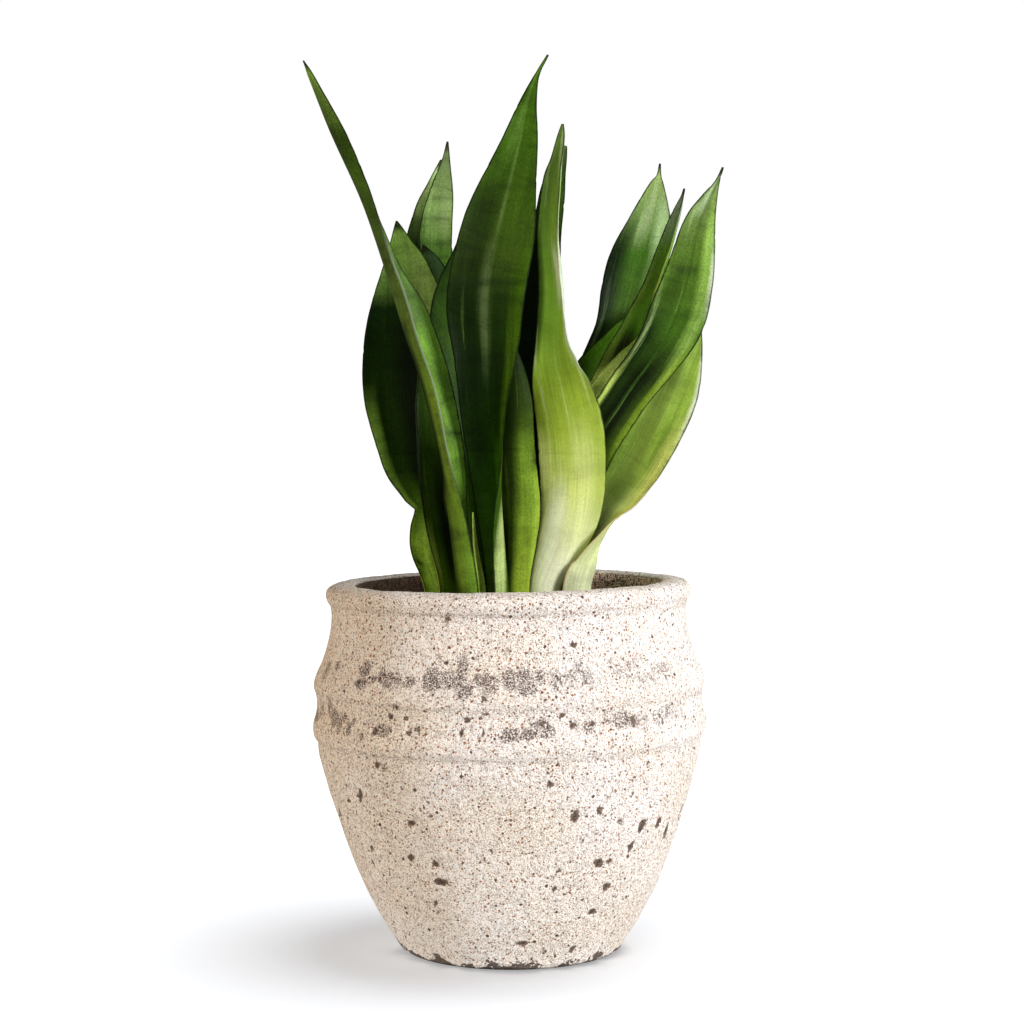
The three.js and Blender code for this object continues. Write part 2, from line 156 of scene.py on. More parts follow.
# How each leaf looks. stops are its colours by height; on several leaves they also hold painted shade and
# painted light. strips are lengthwise stains, painted shade and painted highlights: height from and
# to, side from -1 to 1 at each, half width, colour, strength, and 1 or -1 where only one face has them.
# marks are cross bands and scars: height, side, half height, half width, strength. The pale edge entry is
# a pale margin painted as a highlight: side, height from and to, strength, colour. midrib is its colour
# and strength. bands, mottle, streaks and grain say how strong those patterns are, tear how torn the
# strips' borders, margin how dark the line along the edge, dry how brown the point and shine how glossy
# the blade.
LEAVES = {
    "leaf_left_tall": {
        "slot": "leaf_green",
        "stops": [(226, "#648828"), (330, "#6a8a29"), (430, "#4b6229"), (480, "#42601a"), (505, "#324812"),
                  (545, "#86b24a")],
        "bands": 0.25,
        "mottle": 0.5,
        "strips": [(240, 455, 0.5, 0.5, 1.6, "#6d9832", 0.85, 1),
                   (375, 455, 0.75, 0.6, 0.35, "#3a5c1c", 0.5, 1),
                   # The near-black #060d00 and #010300 strips on the back face are painted shade.
                   (262, 412, -0.25, -0.3, 0.45, "#060d00", 0.97, -1),
                   (190, 300, 0.3, 0.3, 0.75, "#010300", 0.98, -1)],
        "marks": [(323, 0.5, 5, 0.5, 0.8), (262, -0.6, 5, 0.5, 0.4)],
        # Its pale left margin is a painted highlight.
        "pale_edge_highlight": (-1, 300, 445, 0.6, "#a9b7a4"),
        "path": [
            (-30, -20, 190, 13, 100, 75), (-32, -20, 226, 17, 100, 75), (-36, -20, 258, 18, 93, 74),
            (-39, -21, 283, 18, 83, 72), (-43, -22, 313, 18, 71, 72), (-52, -24, 350, 20, 69, 75),
            (-62, -27, 381, 21, 70, 75), (-68.5, -29, 401, 19, 73, 73), (-77, -32, 427, 13, 86, 66),
            (-90, -37, 465, 12, 96, 50), (-108, -43, 506, 12.5, 105, 47), (-120, -48, 536, 5, 105, 40),
            (-124.7, -50, 547.5, 0.6, 105, 20),
        ],
    },
    "leaf_shoot": {
        "slot": "leaf_pale",
        # The bright stops are the pale new growth lifted further as painted light.
        "stops": [(226, "#c8f456"), (275, "#e2f77c")],
        "strips": [(215, 300, 0.7, 0.6, 0.8, "#1c3204", 0.55, 1)],
        "margin": 0.1,
        "dry": 0,
        "path": [
            (-18, -19, 190, 4, 60, 60), (-19.5, -20, 226, 4.5, 60, 60), (-22.5, -21, 252, 2.8, 60, 50),
            (-23.6, -21.5, 275, 0.6, 60, 20),
        ],
    },
    "leaf_left_broad": {
        "slot": "leaf_dark",
        # The near-black body stops #142a02 and #16300a are painted shade, the bright base stop #cdfa5a
        # painted light.
        "stops": [(258, "#cdfa5a"), (276, "#5a8020"), (300, "#26400c"), (380, "#142a02"), (403, "#16300a"),
                  (430, "#92c458")],
        "bands": 0.25,
        "shine": 0.04,
        "tear": 0.3,
        # Of the strips, #071200 is painted shade and #d4ff60 at the foot of the left edge painted light.
        "strips": [(245, 362, -1, -1, 0.34, "#8fba48", 0.9), (362, 460, 0.6, 0.6, 0.5, "#8db05a", 0.9),
                   (262, 418, 0.3, 0.15, 0.5, "#071200", 0.95), (190, 300, -1, -1, 0.4, "#d4ff60", 0.95),
                   (190, 268, 0.6, 0.5, 0.4, "#3a5618", 0.85)],
        "marks": [(241, -0.78, 7, 0.4, 0.95)],
        "path": [
            (-46, 19, 190, 12, 25, 75), (-49, 19, 226, 12, 25, 75), (-55.5, 18, 248, 12.5, 20, 70),
            (-56, 17.5, 262, 12, 18, 65), (-53.2, 17, 277, 12, 15, 58), (-58.5, 16, 288, 13.5, 12, 45),
            (-61, 15, 300, 19, 8, 36), (-62.5, 14.5, 315, 23.5, 5, 30), (-66, 16, 347, 27.5, 0, 25),
            (-66, 17.5, 379, 27, 0, 22), (-65.5, 19, 407, 22.5, 0, 20), (-67, 21, 428, 15, 0, 18),
            (-70, 22, 445, 6.5, 0, 15), (-72.5, 23, 457.8, 0.6, 0, 10),
        ],
    },
    "leaf_left_inner": {
        "slot": "leaf_dark",
        "stops": [(226, "#5c8410"), (262, "#34500c"), (310, "#2a4507"), (350, "#5f8c36"), (384, "#6b9840")],
        "strips": [(280, 378, -0.92, -0.92, 0.14, "#7b9470", 0.7),
                   # The near-black #020500 strip is painted shadow.
                   (200, 325, 0.6, 0.5, 0.7, "#020500", 0.97),
                   (200, 275, -0.9, -0.85, 0.45, "#d8ff60", 0.95)],
        "path": [
            (-40, 4, 190, 10, 35, 65), (-40, 3, 226, 11, 35, 65), (-45, 0, 261, 13, 30, 60),
            (-49, -3, 297, 15, 25, 55), (-50, -4, 334, 13, 25, 50), (-53, -5, 360, 7.5, 25, 45),
            (-55, -6, 377, 2.5, 25, 30), (-56, -6.5, 384, 0.6, 25, 20),
        ],
    },
    "leaf_left_small": {
        "slot": "leaf_dark",
        # Its dark slate colour is partly painted shade.
        "stops": [(226, "#2c4630"), (440, "#405f34")],
        "path": [
            (-30, 26, 190, 9, 0, 60), (-32, 26, 230, 11, 0, 55), (-38, 28.5, 300, 15, 0, 35),
            (-44, 31, 370, 17, 0, 25), (-47, 33, 405, 14, 0, 20), (-51, 33.5, 428, 8.5, 0, 15),
            (-56, 34, 443.5, 0.6, 0, 10),
        ],
    },
    "leaf_back_left_front": {
        "slot": "leaf_green",
        "stops": [(226, "#3a5a1c"), (400, "#44701f"), (440, "#527c2b"), (468, "#8aac5e"), (511, "#5c6a48")],
        "bands": 0.3,
        # The pale #a4b984 strip is a painted sheen.
        "strips": [(440, 490, 0.5, 0.4, 0.35, "#a4b984", 0.4), (420, 475, -1, -1, 0.4, "#3a5a1c", 0.6)],
        "marks": [(475, 0.2, 1.4, 0.5, 0.4), (461, 0.2, 1.6, 0.5, 0.6), (446, 0, 2.2, 1, 0.8),
                  (436, 0.3, 1.4, 0.5, 0.6)],
        "path": [
            (-16, 35, 190, 10, 0, 60), (-18, 36, 230, 12, 0, 55), (-28, 39, 310, 14, 0, 40),
            (-40, 43, 380, 13, 0, 30), (-47.5, 46, 430, 10.5, 0, 25), (-48, 49, 457, 10.5, 0, 20),
            (-44.5, 51, 481, 7, 0, 18), (-42, 52, 499, 2.6, 0, 15), (-41, 53, 511.3, 0.6, 0, 10),
        ],
    },
    "leaf_back_left_rear": {
        "slot": "leaf_green",
        # The near-black #0c1806 stop and #0a1404 strip are painted shade between the leaves.
        "stops": [(226, "#35551c"), (444, "#0c1806"), (460, "#5a7a38"), (470, "#96b86c"), (490, "#b2d688")],
        "bands": 0.2,
        "strips": [(425, 480, 0.6, 0.5, 0.7, "#0a1404", 0.9)],
        "path": [
            (-24, 45, 190, 10, 0, 60), (-27, 46, 230, 12, 0, 55), (-42, 51, 320, 14, 0, 40),
            (-55, 56, 400, 13.5, 0, 30), (-57.5, 59, 440, 11.5, 0, 25), (-55, 62, 465, 8.5, 0, 20),
            (-50, 64, 484, 4.5, 0, 15), (-45.6, 66, 501, 0.6, 0, 10),
        ],
    },
    "leaf_middle_rear": {
        "slot": "leaf_dark",
        "stops": [(226, "#2c4c10"), (300, "#47720f"), (345, "#54792f"), (395, "#4a7024"), (460, "#34561c")],
        # The grey-green #5d7d52 strip is a painted sheen and the dark #1c3408 strip painted shade.
        "strips": [(300, 390, -0.2, -0.5, 0.3, "#5d7d52", 0.7), (330, 440, 0.4, 0.2, 0.4, "#1c3408", 0.6)],
        "path": [
            (-14, 8, 190, 9, 0, 65), (-15, 8, 226, 10, 0, 60), (-19, 8, 257, 11.5, 0, 45),
            (-22, 7.5, 294, 13, 5, 38), (-28, 7, 325, 15, 5, 38), (-33, 6.5, 357, 18, 5, 33),
            (-34, 8, 388, 18, 5, 30), (-32, 10, 413, 16, 5, 25), (-28, 11, 438, 8, 5, 20),
            (-25.5, 12, 462, 0.6, 5, 10),
        ],
    },
    "leaf_middle_tall": {
        "slot": "leaf_dark",
        # The near-black middle stops #102902 and #1c3304 are partly the leaf's dark green, partly painted
        # shade.
        "stops": [(226, "#3a5a12"), (300, "#244607"), (350, "#102902"), (405, "#1c3304"), (430, "#354c0f"),
                  (530, "#3a5e09")],
        "bands": 0.25,
        "shine": 0.045,
        "tear": 0.45,
        # The dark #071100 strip is painted shade; the pale lanes #5c8030, #5a6c3e and #7f9455 are a painted
        # sheen.
        "strips": [(285, 500, -0.7, -0.5, 0.6, "#071100", 0.68),
                   (480, 575, -0.3, -0.2, 0.35, "#5c8030", 0.6), (345, 455, 0.0, -0.1, 0.16, "#5a6c3e", 0.6),
                   (425, 530, 0.0, 0.02, 0.05, "#7f9455", 0.3), (270, 455, 1.0, 0.95, 0.4, "#44680c", 0.85),
                   (240, 330, 0.5, 0.5, 0.35, "#4a7a10", 0.7, 1),
                   (200, 300, 0.95, 0.3, 0.35, "#b4c878", 0.95, -1)],
        "marks": [(416, 0, 2.6, 1, 0.9), (404, 0, 3, 1, 0.3), (474, 0.1, 2, 1, 0.35),
                  (254, 0.9, 2, 0.2, 0.5)],
        "dry": 0,
        "path": [
            (-3, -17, 190, 14, -78, 75), (-3.3, -18, 226, 17, -78, 75), (-5.2, -18, 251, 17, -75, 74),
            (-8.2, -19, 279, 17, -62, 70), (-11.3, -20, 306, 16, -42, 62), (-14.5, -22, 342, 17.5, -20, 45),
            (-15.1, -24, 376, 21.5, -10, 35), (-15.5, -26, 397, 24, -5, 28), (-13.6, -27, 420, 24.5, 0, 25),
            (-7.6, -28, 450, 22.7, 3, 24), (0.4, -29, 482, 15.8, 5, 22), (6, -30, 505, 10.4, 5, 20),
            (10.3, -30, 524, 5.4, 5, 18), (15.5, -30, 541, 1.6, 5, 15), (22.5, -30, 554, 0.6, 5, 10),
        ],
    },
    "leaf_middle_short": {
        "slot": "leaf_green",
        "stops": [(226, "#90a931"), (280, "#749228"), (330, "#476210"), (380, "#1c3204")],
        "mottle": 0.4,
        "shine": 0.04,
        # The dark #152403 strip on the left half is painted shade, the bright #b4d84a strip on the right edge
        # painted light.
        "strips": [(205, 400, -0.8, -0.1, 0.6, "#152403", 0.96), (312, 430, 0.5, 0.7, 0.9, "#1c2e06", 0.85),
                   (205, 315, 1, 0.95, 0.4, "#b4d84a", 0.6)],
        "marks": [(309, 0.95, 5, 0.12, 0.8)],
        "path": [
            (4, -14, 190, 9, 0, -75), (4, -15, 227, 9.5, 0, -75), (5, -17, 255, 12, 0, -55),
            (5.5, -19, 283, 13.5, 0, -40), (3, -20, 320, 12, 0, -32), (3, -20, 344, 10, 0, -30),
            (1.8, -19, 363, 7, 0, -25), (0.6, -18, 380, 0.6, 0, -10),
        ],
    },
    "leaf_front_bright": {
        "slot": "leaf_pale",
        "stops": [(240, "#eef2c8"), (286, "#cddb70"), (325, "#a2bb3c"), (355, "#94b234"), (395, "#a6dd48"),
                  (490, "#5d8030")],
        "bands": 0.1,
        "streaks": 0.22,
        "grain": 0.35,
        # d8e6bc on the curled right edge and #f0ff90 on the left edge are painted light, #fbffda and #f0ffd0
        # painted highlights, and #2c4606 on the left edge painted shadow.
        "strips": [(358, 475, 1.0, 1.0, 0.32, "#d8e6bc", 0.97), (345, 470, -1, -1, 0.36, "#2c4606", 0.85),
                   (190, 340, -1, -1, 0.5, "#f0ff90", 0.97), (222, 305, -0.5, -0.35, 0.4, "#fbffda", 0.6),
                   (235, 350, 0.4, 0.3, 0.4, "#d0d890", 0.4), (240, 380, 1, 0.95, 0.5, "#8a9c3c", 0.55),
                   (392, 448, 0.5, 0.15, 0.35, "#f0ffd0", 0.9), (465, 530, 1, 0.8, 0.8, "#b4d48a", 0.9),
                   (190, 268, 1, 1, 0.4, "#c4d860", 0.8)],
        # Its pale right margin is a painted highlight.
        "pale_edge_highlight": (1, 366, 440, 0.85, "#c3cdc2"),
        "dry": 0,
        "path": [
            (19, -9, 190, 11, 0, -75), (20.5, -10, 226, 13.5, 0, -72), (31, -13, 255, 18, 0, -50),
            (37.5, -14, 283, 21, -5, -40), (37, -16, 318, 22, -8, -28), (31, -18, 350, 19.5, -18, -8),
            (28, -20, 366, 15.5, -28, 12), (27, -21, 381, 13, -38, 30), (28.5, -24, 411, 13, -50, 52),
            (25.5, -27, 447, 10.5, -50, 60), (27.5, -29, 477, 8.5, -45, 60), (29, -30, 491, 5, -40, 50),
            (30.8, -31, 506, 2.2, -30, 30), (31.5, -31.5, 512, 0.8, -30, 20),
        ],
    },
    "leaf_middle_shaded": {
        "slot": "leaf_dark",
        # The near-black stops are painted deep shade, on both faces alike.
        "stops": [(226, "#040902"), (440, "#050a03"), (470, "#16220c"), (504, "#4c6a2e")],
        "strips": [(420, 515, 0.95, 0.95, 0.4, "#3f5a20", 0.8)],
        "shine": 0.0,
        "dry": 0,
        "path": [
            (8, 16, 190, 10, 0, 65), (9, 15, 226, 12, 0, 60), (12, 12, 280, 14, 0, 50),
            (14, 10, 340, 14.5, 0, 40), (17, 9, 395, 13.5, 0, 35), (22, 10, 445, 10, 0, 30),
            (26, 12, 475, 7.8, 0, 25), (31, 13, 495, 4, 0, 20), (34.4, 14, 504, 1, 0, 15),
        ],
    },
    "leaf_right_tall": {
        "slot": "leaf_green",
        "stops": [(240, "#2f4f0a"), (320, "#4f6c1c"), (390, "#456d17"), (440, "#526f22"), (480, "#7f9955")],
        "bands": 0.2,
        "midrib": ("#2a4a0e", 0.8),
        # The dark #0c2104 and #050f00 strips are painted shade; #90b950, #8aa82c and the whitish #d2e2bc rim
        # on the right are painted light and highlight.
        "strips": [(225, 425, -0.75, -0.95, 0.9, "#0c2104", 0.97),
                   (255, 400, 0.0, 0.15, 0.75, "#050f00", 0.98),
                   (355, 490, 0.75, 0.8, 0.42, "#90b950", 0.75),
                   (385, 450, 0.97, 0.97, 0.16, "#d2e2bc", 0.85),
                   (290, 392, 1.0, 0.98, 0.32, "#8aa82c", 0.85),
                   (452, 492, -0.4, -0.3, 0.45, "#b4cc98", 0.75),
                   (388, 440, -0.5, -0.4, 0.42, "#2f4a08", 0.8), (310, 376, -1, -1, 0.3, "#b4cc60", 0.9)],
        "marks": [(397, 0.35, 4, 0.3, 0.6), (425, -0.1, 3, 0.35, 0.4), (452, 0.3, 1, 0.4, 0.5)],
        "path": [
            (30, 8, 190, 11, -20, 70), (32, 6, 226, 12.5, -20, 65), (38, 5, 270, 14, -10, 55),
            (50, 4, 312, 15, 0, 45), (70, 2, 345, 15, 5, 35), (88, 0, 370, 16.5, 5, 30),
            (102, -2, 394, 18.5, 5, 26), (109.7, -4, 419, 16.4, 5, 24), (115.8, -6, 450, 11, 5, 22),
            (122.5, -7, 468, 5.4, 5, 20), (127.6, -8, 479, 1.6, 5, 15), (131.2, -9, 488.2, 0.6, 0, 10),
        ],
    },
    "leaf_right_low": {
        "slot": "leaf_bright",
        "stops": [(232, "#cdd4a4"), (258, "#d6e296"), (290, "#a1ba4d"), (320, "#8aaa3a"), (395, "#a9cc5c")],
        "bands": 0.15,
        "grain": 0.5,
        "mottle": 0.3,
        # The whitish #e4eed2 rim and bright #f2ff84 strip on the right are painted highlight and light; the
        # darker 4e6f26 strip on the left is partly the leaf's browner colour, partly painted shade.
        "strips": [(285, 397, 0.95, 0.97, 0.16, "#e4eed2", 0.85),
                   (215, 345, 0.85, 0.95, 0.55, "#f2ff84", 0.95, 1),
                   (325, 392, 0.55, 0.7, 0.35, "#9cbc3c", 0.5),
                   (262, 400, -0.3, -0.35, 0.45, "#5f7028", 0.8), (240, 345, -0.9, -1, 0.6, "#4e6f26", 0.7),
                   (252, 312, 0.0, -0.2, 0.5, "#465a1c", 0.75)],
        # Its pale right margin is a painted highlight.
        "pale_edge_highlight": (1, 222, 290, 0.85, "#c9b08a"),
        "path": [
            (46, 0, 190, 18, -100, 80), (48.3, -2, 226, 23, -100, 80), (52.3, -1, 241, 20, -95, 75),
            (54, 1.5, 258, 20, -55, 65), (58.5, 4, 272, 19, -38, 50), (67.5, 6, 284, 18, -25, 42),
            (81.5, 8, 305, 18.5, -15, 36), (93.5, 11, 330, 18.5, -8, 30), (104, 14, 353, 15.5, -5, 26),
            (112.5, 18, 374, 9, 0, 22), (117, 21, 388, 4, 0, 18), (120, 23, 398, 0.6, 0, 10),
        ],
    },
    "leaf_right_folded": {
        "slot": "leaf_bright",
        # The bright stops #e4ff80 and #e8ff80 are the pale base lifted as painted light.
        "stops": [(226, "#c4d873"), (335, "#e4ff80"), (362, "#e8ff80"), (385, "#5f921f"), (440, "#588826"),
                  (475, "#9dad92")],
        "bands": 0.15,
        # The near-black #122604 and #081402 strips on the front face are painted shade.
        "strips": [(356, 392, 0, 0, 1.6, "#122604", 0.95, 1), (392, 450, -0.5, -0.5, 0.6, "#4f6a18", 0.6, 1),
                   (345, 405, -0.4, -0.4, 0.4, "#081402", 0.95, 1),
                   (350, 460, -1, -1, 0.35, "#7a9a3c", 0.75, 1)],
        # Its pale right margin is a painted highlight.
        "pale_edge_highlight": (1, 372, 455, 0.9, "#a9c048"),
        "path": [
            (33, 25, 190, 11, -80, 70), (34, 25, 226, 13, -80, 70), (41, 24, 280, 16, -85, 70),
            (56, 24.5, 335, 22, -93, 76), (64, 25, 352, 23, -88, 74), (72, 25.5, 368, 20, -75, 68),
            (79.5, 26, 384, 15, -58, 58), (86, 27, 402, 11, -52, 55), (93, 28, 418, 10, -58, 58),
            (100, 29, 440, 8.5, -60, 60), (106, 30, 461, 5.5, -60, 55), (109.3, 31, 474, 1.6, -60, 40),
            (110.2, 31, 479, 0.6, -60, 20),
        ],
    },
    "leaf_right_short": {
        "slot": "leaf_dark",
        "stops": [(226, "#31540e"), (411, "#4c7714")],
        "strips": [(340, 405, 0.2, 0.1, 0.3, "#5f8a3a", 0.5)],
        "path": [
            (12, 36, 190, 9, 0, 60), (14, 37, 226, 10, 0, 55), (24, 45, 290, 12, 0, 45),
            (37, 49, 336, 13, 0, 35), (52, 50, 360, 13, 0, 30), (65, 51, 376, 12, 0, 28),
            (77, 51, 390, 9, 0, 25), (87, 51, 402, 4, 0, 20), (94, 51, 411, 0.6, 0, 10),
        ],
    },
    "leaf_right_rear": {
        "slot": "leaf_green",
        "stops": [(226, "#1f3a08"), (360, "#2b4c0c"), (400, "#446220"), (440, "#3c6615"), (490, "#90ac60")],
        "bands": 0.12,
        # The dark #0f2205 strip is painted shade; the pale #a8be86 and #a8c68c strips are a painted sheen.
        "strips": [(340, 480, -0.95, -0.9, 0.6, "#0f2205", 0.95),
                   (438, 505, -0.2, -0.1, 0.35, "#a8be86", 0.65), (425, 492, 0.7, 0.6, 0.5, "#a8c68c", 0.7),
                   (385, 450, 0.5, 0.4, 0.3, "#6f8f50", 0.5)],
        "path": [
            (4, 48, 190, 10, 0, 60), (7, 50, 226, 12, 0, 55), (24, 58, 290, 14, 0, 45),
            (50, 62, 345, 16, 0, 35), (70, 64, 385, 17.5, 0, 28), (77.9, 66, 412, 20.6, 0, 25),
            (84.3, 68, 438, 19.3, 0, 22), (91, 69, 463, 13.3, 0, 20), (95.2, 70, 485, 4.8, 0, 15),
            (96.5, 70, 491, 1.6, 0, 12), (97.2, 70, 499, 0.6, 0, 10),
        ],
    },
}


# ---------------------------------------------------------------------------------------------
# Colours and nodes. Sockets go by their place where names repeat: a Map Range has 0 value, 1 and 2
# from, 3 and 4 to; a colour Mix has 0 share, 6 and 7 colours; Math and Vector Math have 0, 1 and 2
# ---------------------------------------------------------------------------------------------


def linear(hex_colour):
    """An sRGB hex colour as linear red, green, blue and a full alpha."""
    channels = [int(hex_colour[i : i + 2], 16) / 255 for i in (1, 3, 5)]
    return tuple(c / 12.92 if c <= 0.04045 else ((c + 0.055) / 1.055) ** 2.4 for c in channels) + (1.0,)


def set_inputs(node, inputs):
    """Links a node's sockets to the outputs given for them, or sets them to the values given."""
    for key, value in inputs.items():
        if isinstance(value, bpy.types.NodeSocket):
            node.id_data.links.new(value, node.inputs[key])
        else:
            node.inputs[key].default_value = value


def add_node(tree, kind, inputs=None, **settings):
    """Adds a node of any kind with its settings; inputs maps its sockets to values or to outputs."""
    node = tree.nodes.new(kind)
    for name, value in settings.items():
        setattr(node, name, value)
    set_inputs(node, inputs or {})
    return node


def start_material(name):
    """An empty material with its surface shader; returns it, a node adder and the shader."""
    material = bpy.data.materials.new(name)
    material.use_nodes = True
    tree = material.node_tree
    tree.nodes.clear()
    add = functools.partial(add_node, tree)
    shader = add("ShaderNodeBsdfPrincipled")
    add("ShaderNodeOutputMaterial", {"Surface": shader.outputs[0]})
    return material, add, shader


def fill_ramp(node, stops):
    """Sets a colour ramp's stops from (position, hex colour) pairs."""
    elements = node.color_ramp.elements
    while len(elements) < len(stops):
        elements.new(0.5)
    for element, (position, colour) in zip(elements, stops):
        element.position = position
        element.color = linear(colour)


# ---------------------------------------------------------------------------------------------
# Meshes
# ---------------------------------------------------------------------------------------------


def smooth_step(value, low, high):
    t = np.clip((np.asarray(value, float) - low) / (high - low), 0, 1)
    return t * t * (3 - 2 * t)


def wobble(distance, length, seed):
    """A smooth made-up wave from -1 to 1, about one rise and fall in each length."""
    pick = np.random.default_rng(seed)
    total = 0
    for share in (1.0, 1.7, 0.43):
        total = total + np.sin(2 * math.pi * distance * share / length + pick.uniform(0, 2 * math.pi))
    return total / 3


def make_piece(name, points, faces, material, attributes):
    """A smooth mesh object in metres from points in millimetres, with point attributes of three values."""
    mesh = bpy.data.meshes.new(name)
    mesh.from_pydata((points * MM).tolist(), [], faces)
    for title, values in attributes.items():
        layer = mesh.attributes.new(title, "FLOAT_VECTOR", "POINT")
        layer.data.foreach_set("vector", np.asarray(values, np.float32).ravel())
    mesh.shade_smooth()
    mesh.materials.append(material)
    mesh.update()
    piece = bpy.data.objects.new(name, mesh)
    bpy.context.scene.collection.objects.link(piece)
    return piece


def smooth_line(points, spacing):
    """Points evenly spaced along a smooth line through the given ones."""
    given = np.array(points, float)
    steps = np.linalg.norm(np.diff(given, axis=0), axis=1)
    slopes = np.diff(given, axis=0) / steps[:, None]
    tangents = np.vstack([
        slopes[:1],
        (slopes[1:] * steps[:-1, None] + slopes[:-1] * steps[1:, None]) / (steps[1:] + steps[:-1])[:, None],
        slopes[-1:],
    ])
    line = []
    for a, b, ta, tb, step in zip(given[:-1], given[1:], tangents[:-1], tangents[1:], steps):
        count = max(1, math.ceil(step / spacing))
        for t in np.arange(count) / count:
            line.append(
                (2 * t**3 - 3 * t**2 + 1) * a + (t**3 - 2 * t**2 + t) * step * ta
                + (3 * t**2 - 2 * t**3) * b + (t**3 - t**2) * step * tb
            )
    return np.array(line + [given[-1]])


def pot_outline():
    """The pot's outline from under its foot, over the lip and down to the middle of its floor."""
    under = [(r, 0) for r in (8, 24, 40, 54)]
    outside = smooth_line([(60, 0)] + FOOT + BODY + LOWER_RIDGE + UPPER_RIDGE + NECK + LIP + LIP_INSIDE, 1.75)
    inside = smooth_line([LIP_INSIDE[-1]] + INSIDE, 5)[1:]
    floor = [(r, FLOOR_HEIGHT) for r in (40, 24, 8)]
    return np.vstack([under, outside, inside, floor]), len(under) + len(outside)


def stains(angle, height, radius, spots, sharpness):
    """How strongly each point lies in any of the spots, 1 in the middle of a full one."""
    field = np.zeros_like(angle)
    for at, level, wide, high, strength in spots:
        apart = (angle - at + 180) % 360 - 180
        reach = np.hypot(np.radians(apart) * radius / wide, (height - level) / high)
        field = np.maximum(field, strength * np.clip((1.6 - reach) * sharpness, 0, 1))
    return field


def pit_distance(angle, height, radius, pits):
    """Distance in millimetres to the rim of the nearest pit, negative inside it."""
    nearest = np.full_like(angle, float(FAR_FROM_PITS))
    for at, level, wide, high in pits:
        apart = np.radians((angle - at + 180) % 360 - 180) * radius
        reach = np.hypot(apart / wide, (height - level) / high)
        nearest = np.minimum(nearest, (reach - 1) * (wide + high) / 2)
    return nearest


def marks_behind(pick):
    """Pits and smudges for the sides that the front list leaves bare."""
    pits, smudges = [], []
    for _ in range(46):
        size = pick.uniform(1.4, 3.2)
        pits.append((pick.uniform(82, 290), pick.uniform(10, 125), size, size * pick.uniform(0.6, 1.5)))
    for band, low, high in ((180, 3, 8), (154, 3, 6)):
        at = 98.0
        while at < 282:
            wide = pick.uniform(2, 10)
            level, high_by = band + pick.uniform(-6, 7), pick.uniform(low, high)
            smudges.append((at, level, wide, high_by, pick.uniform(0.35, 0.95)))
            at += math.degrees(wide / 120) * pick.uniform(1.4, 3.4)
    return pits, smudges


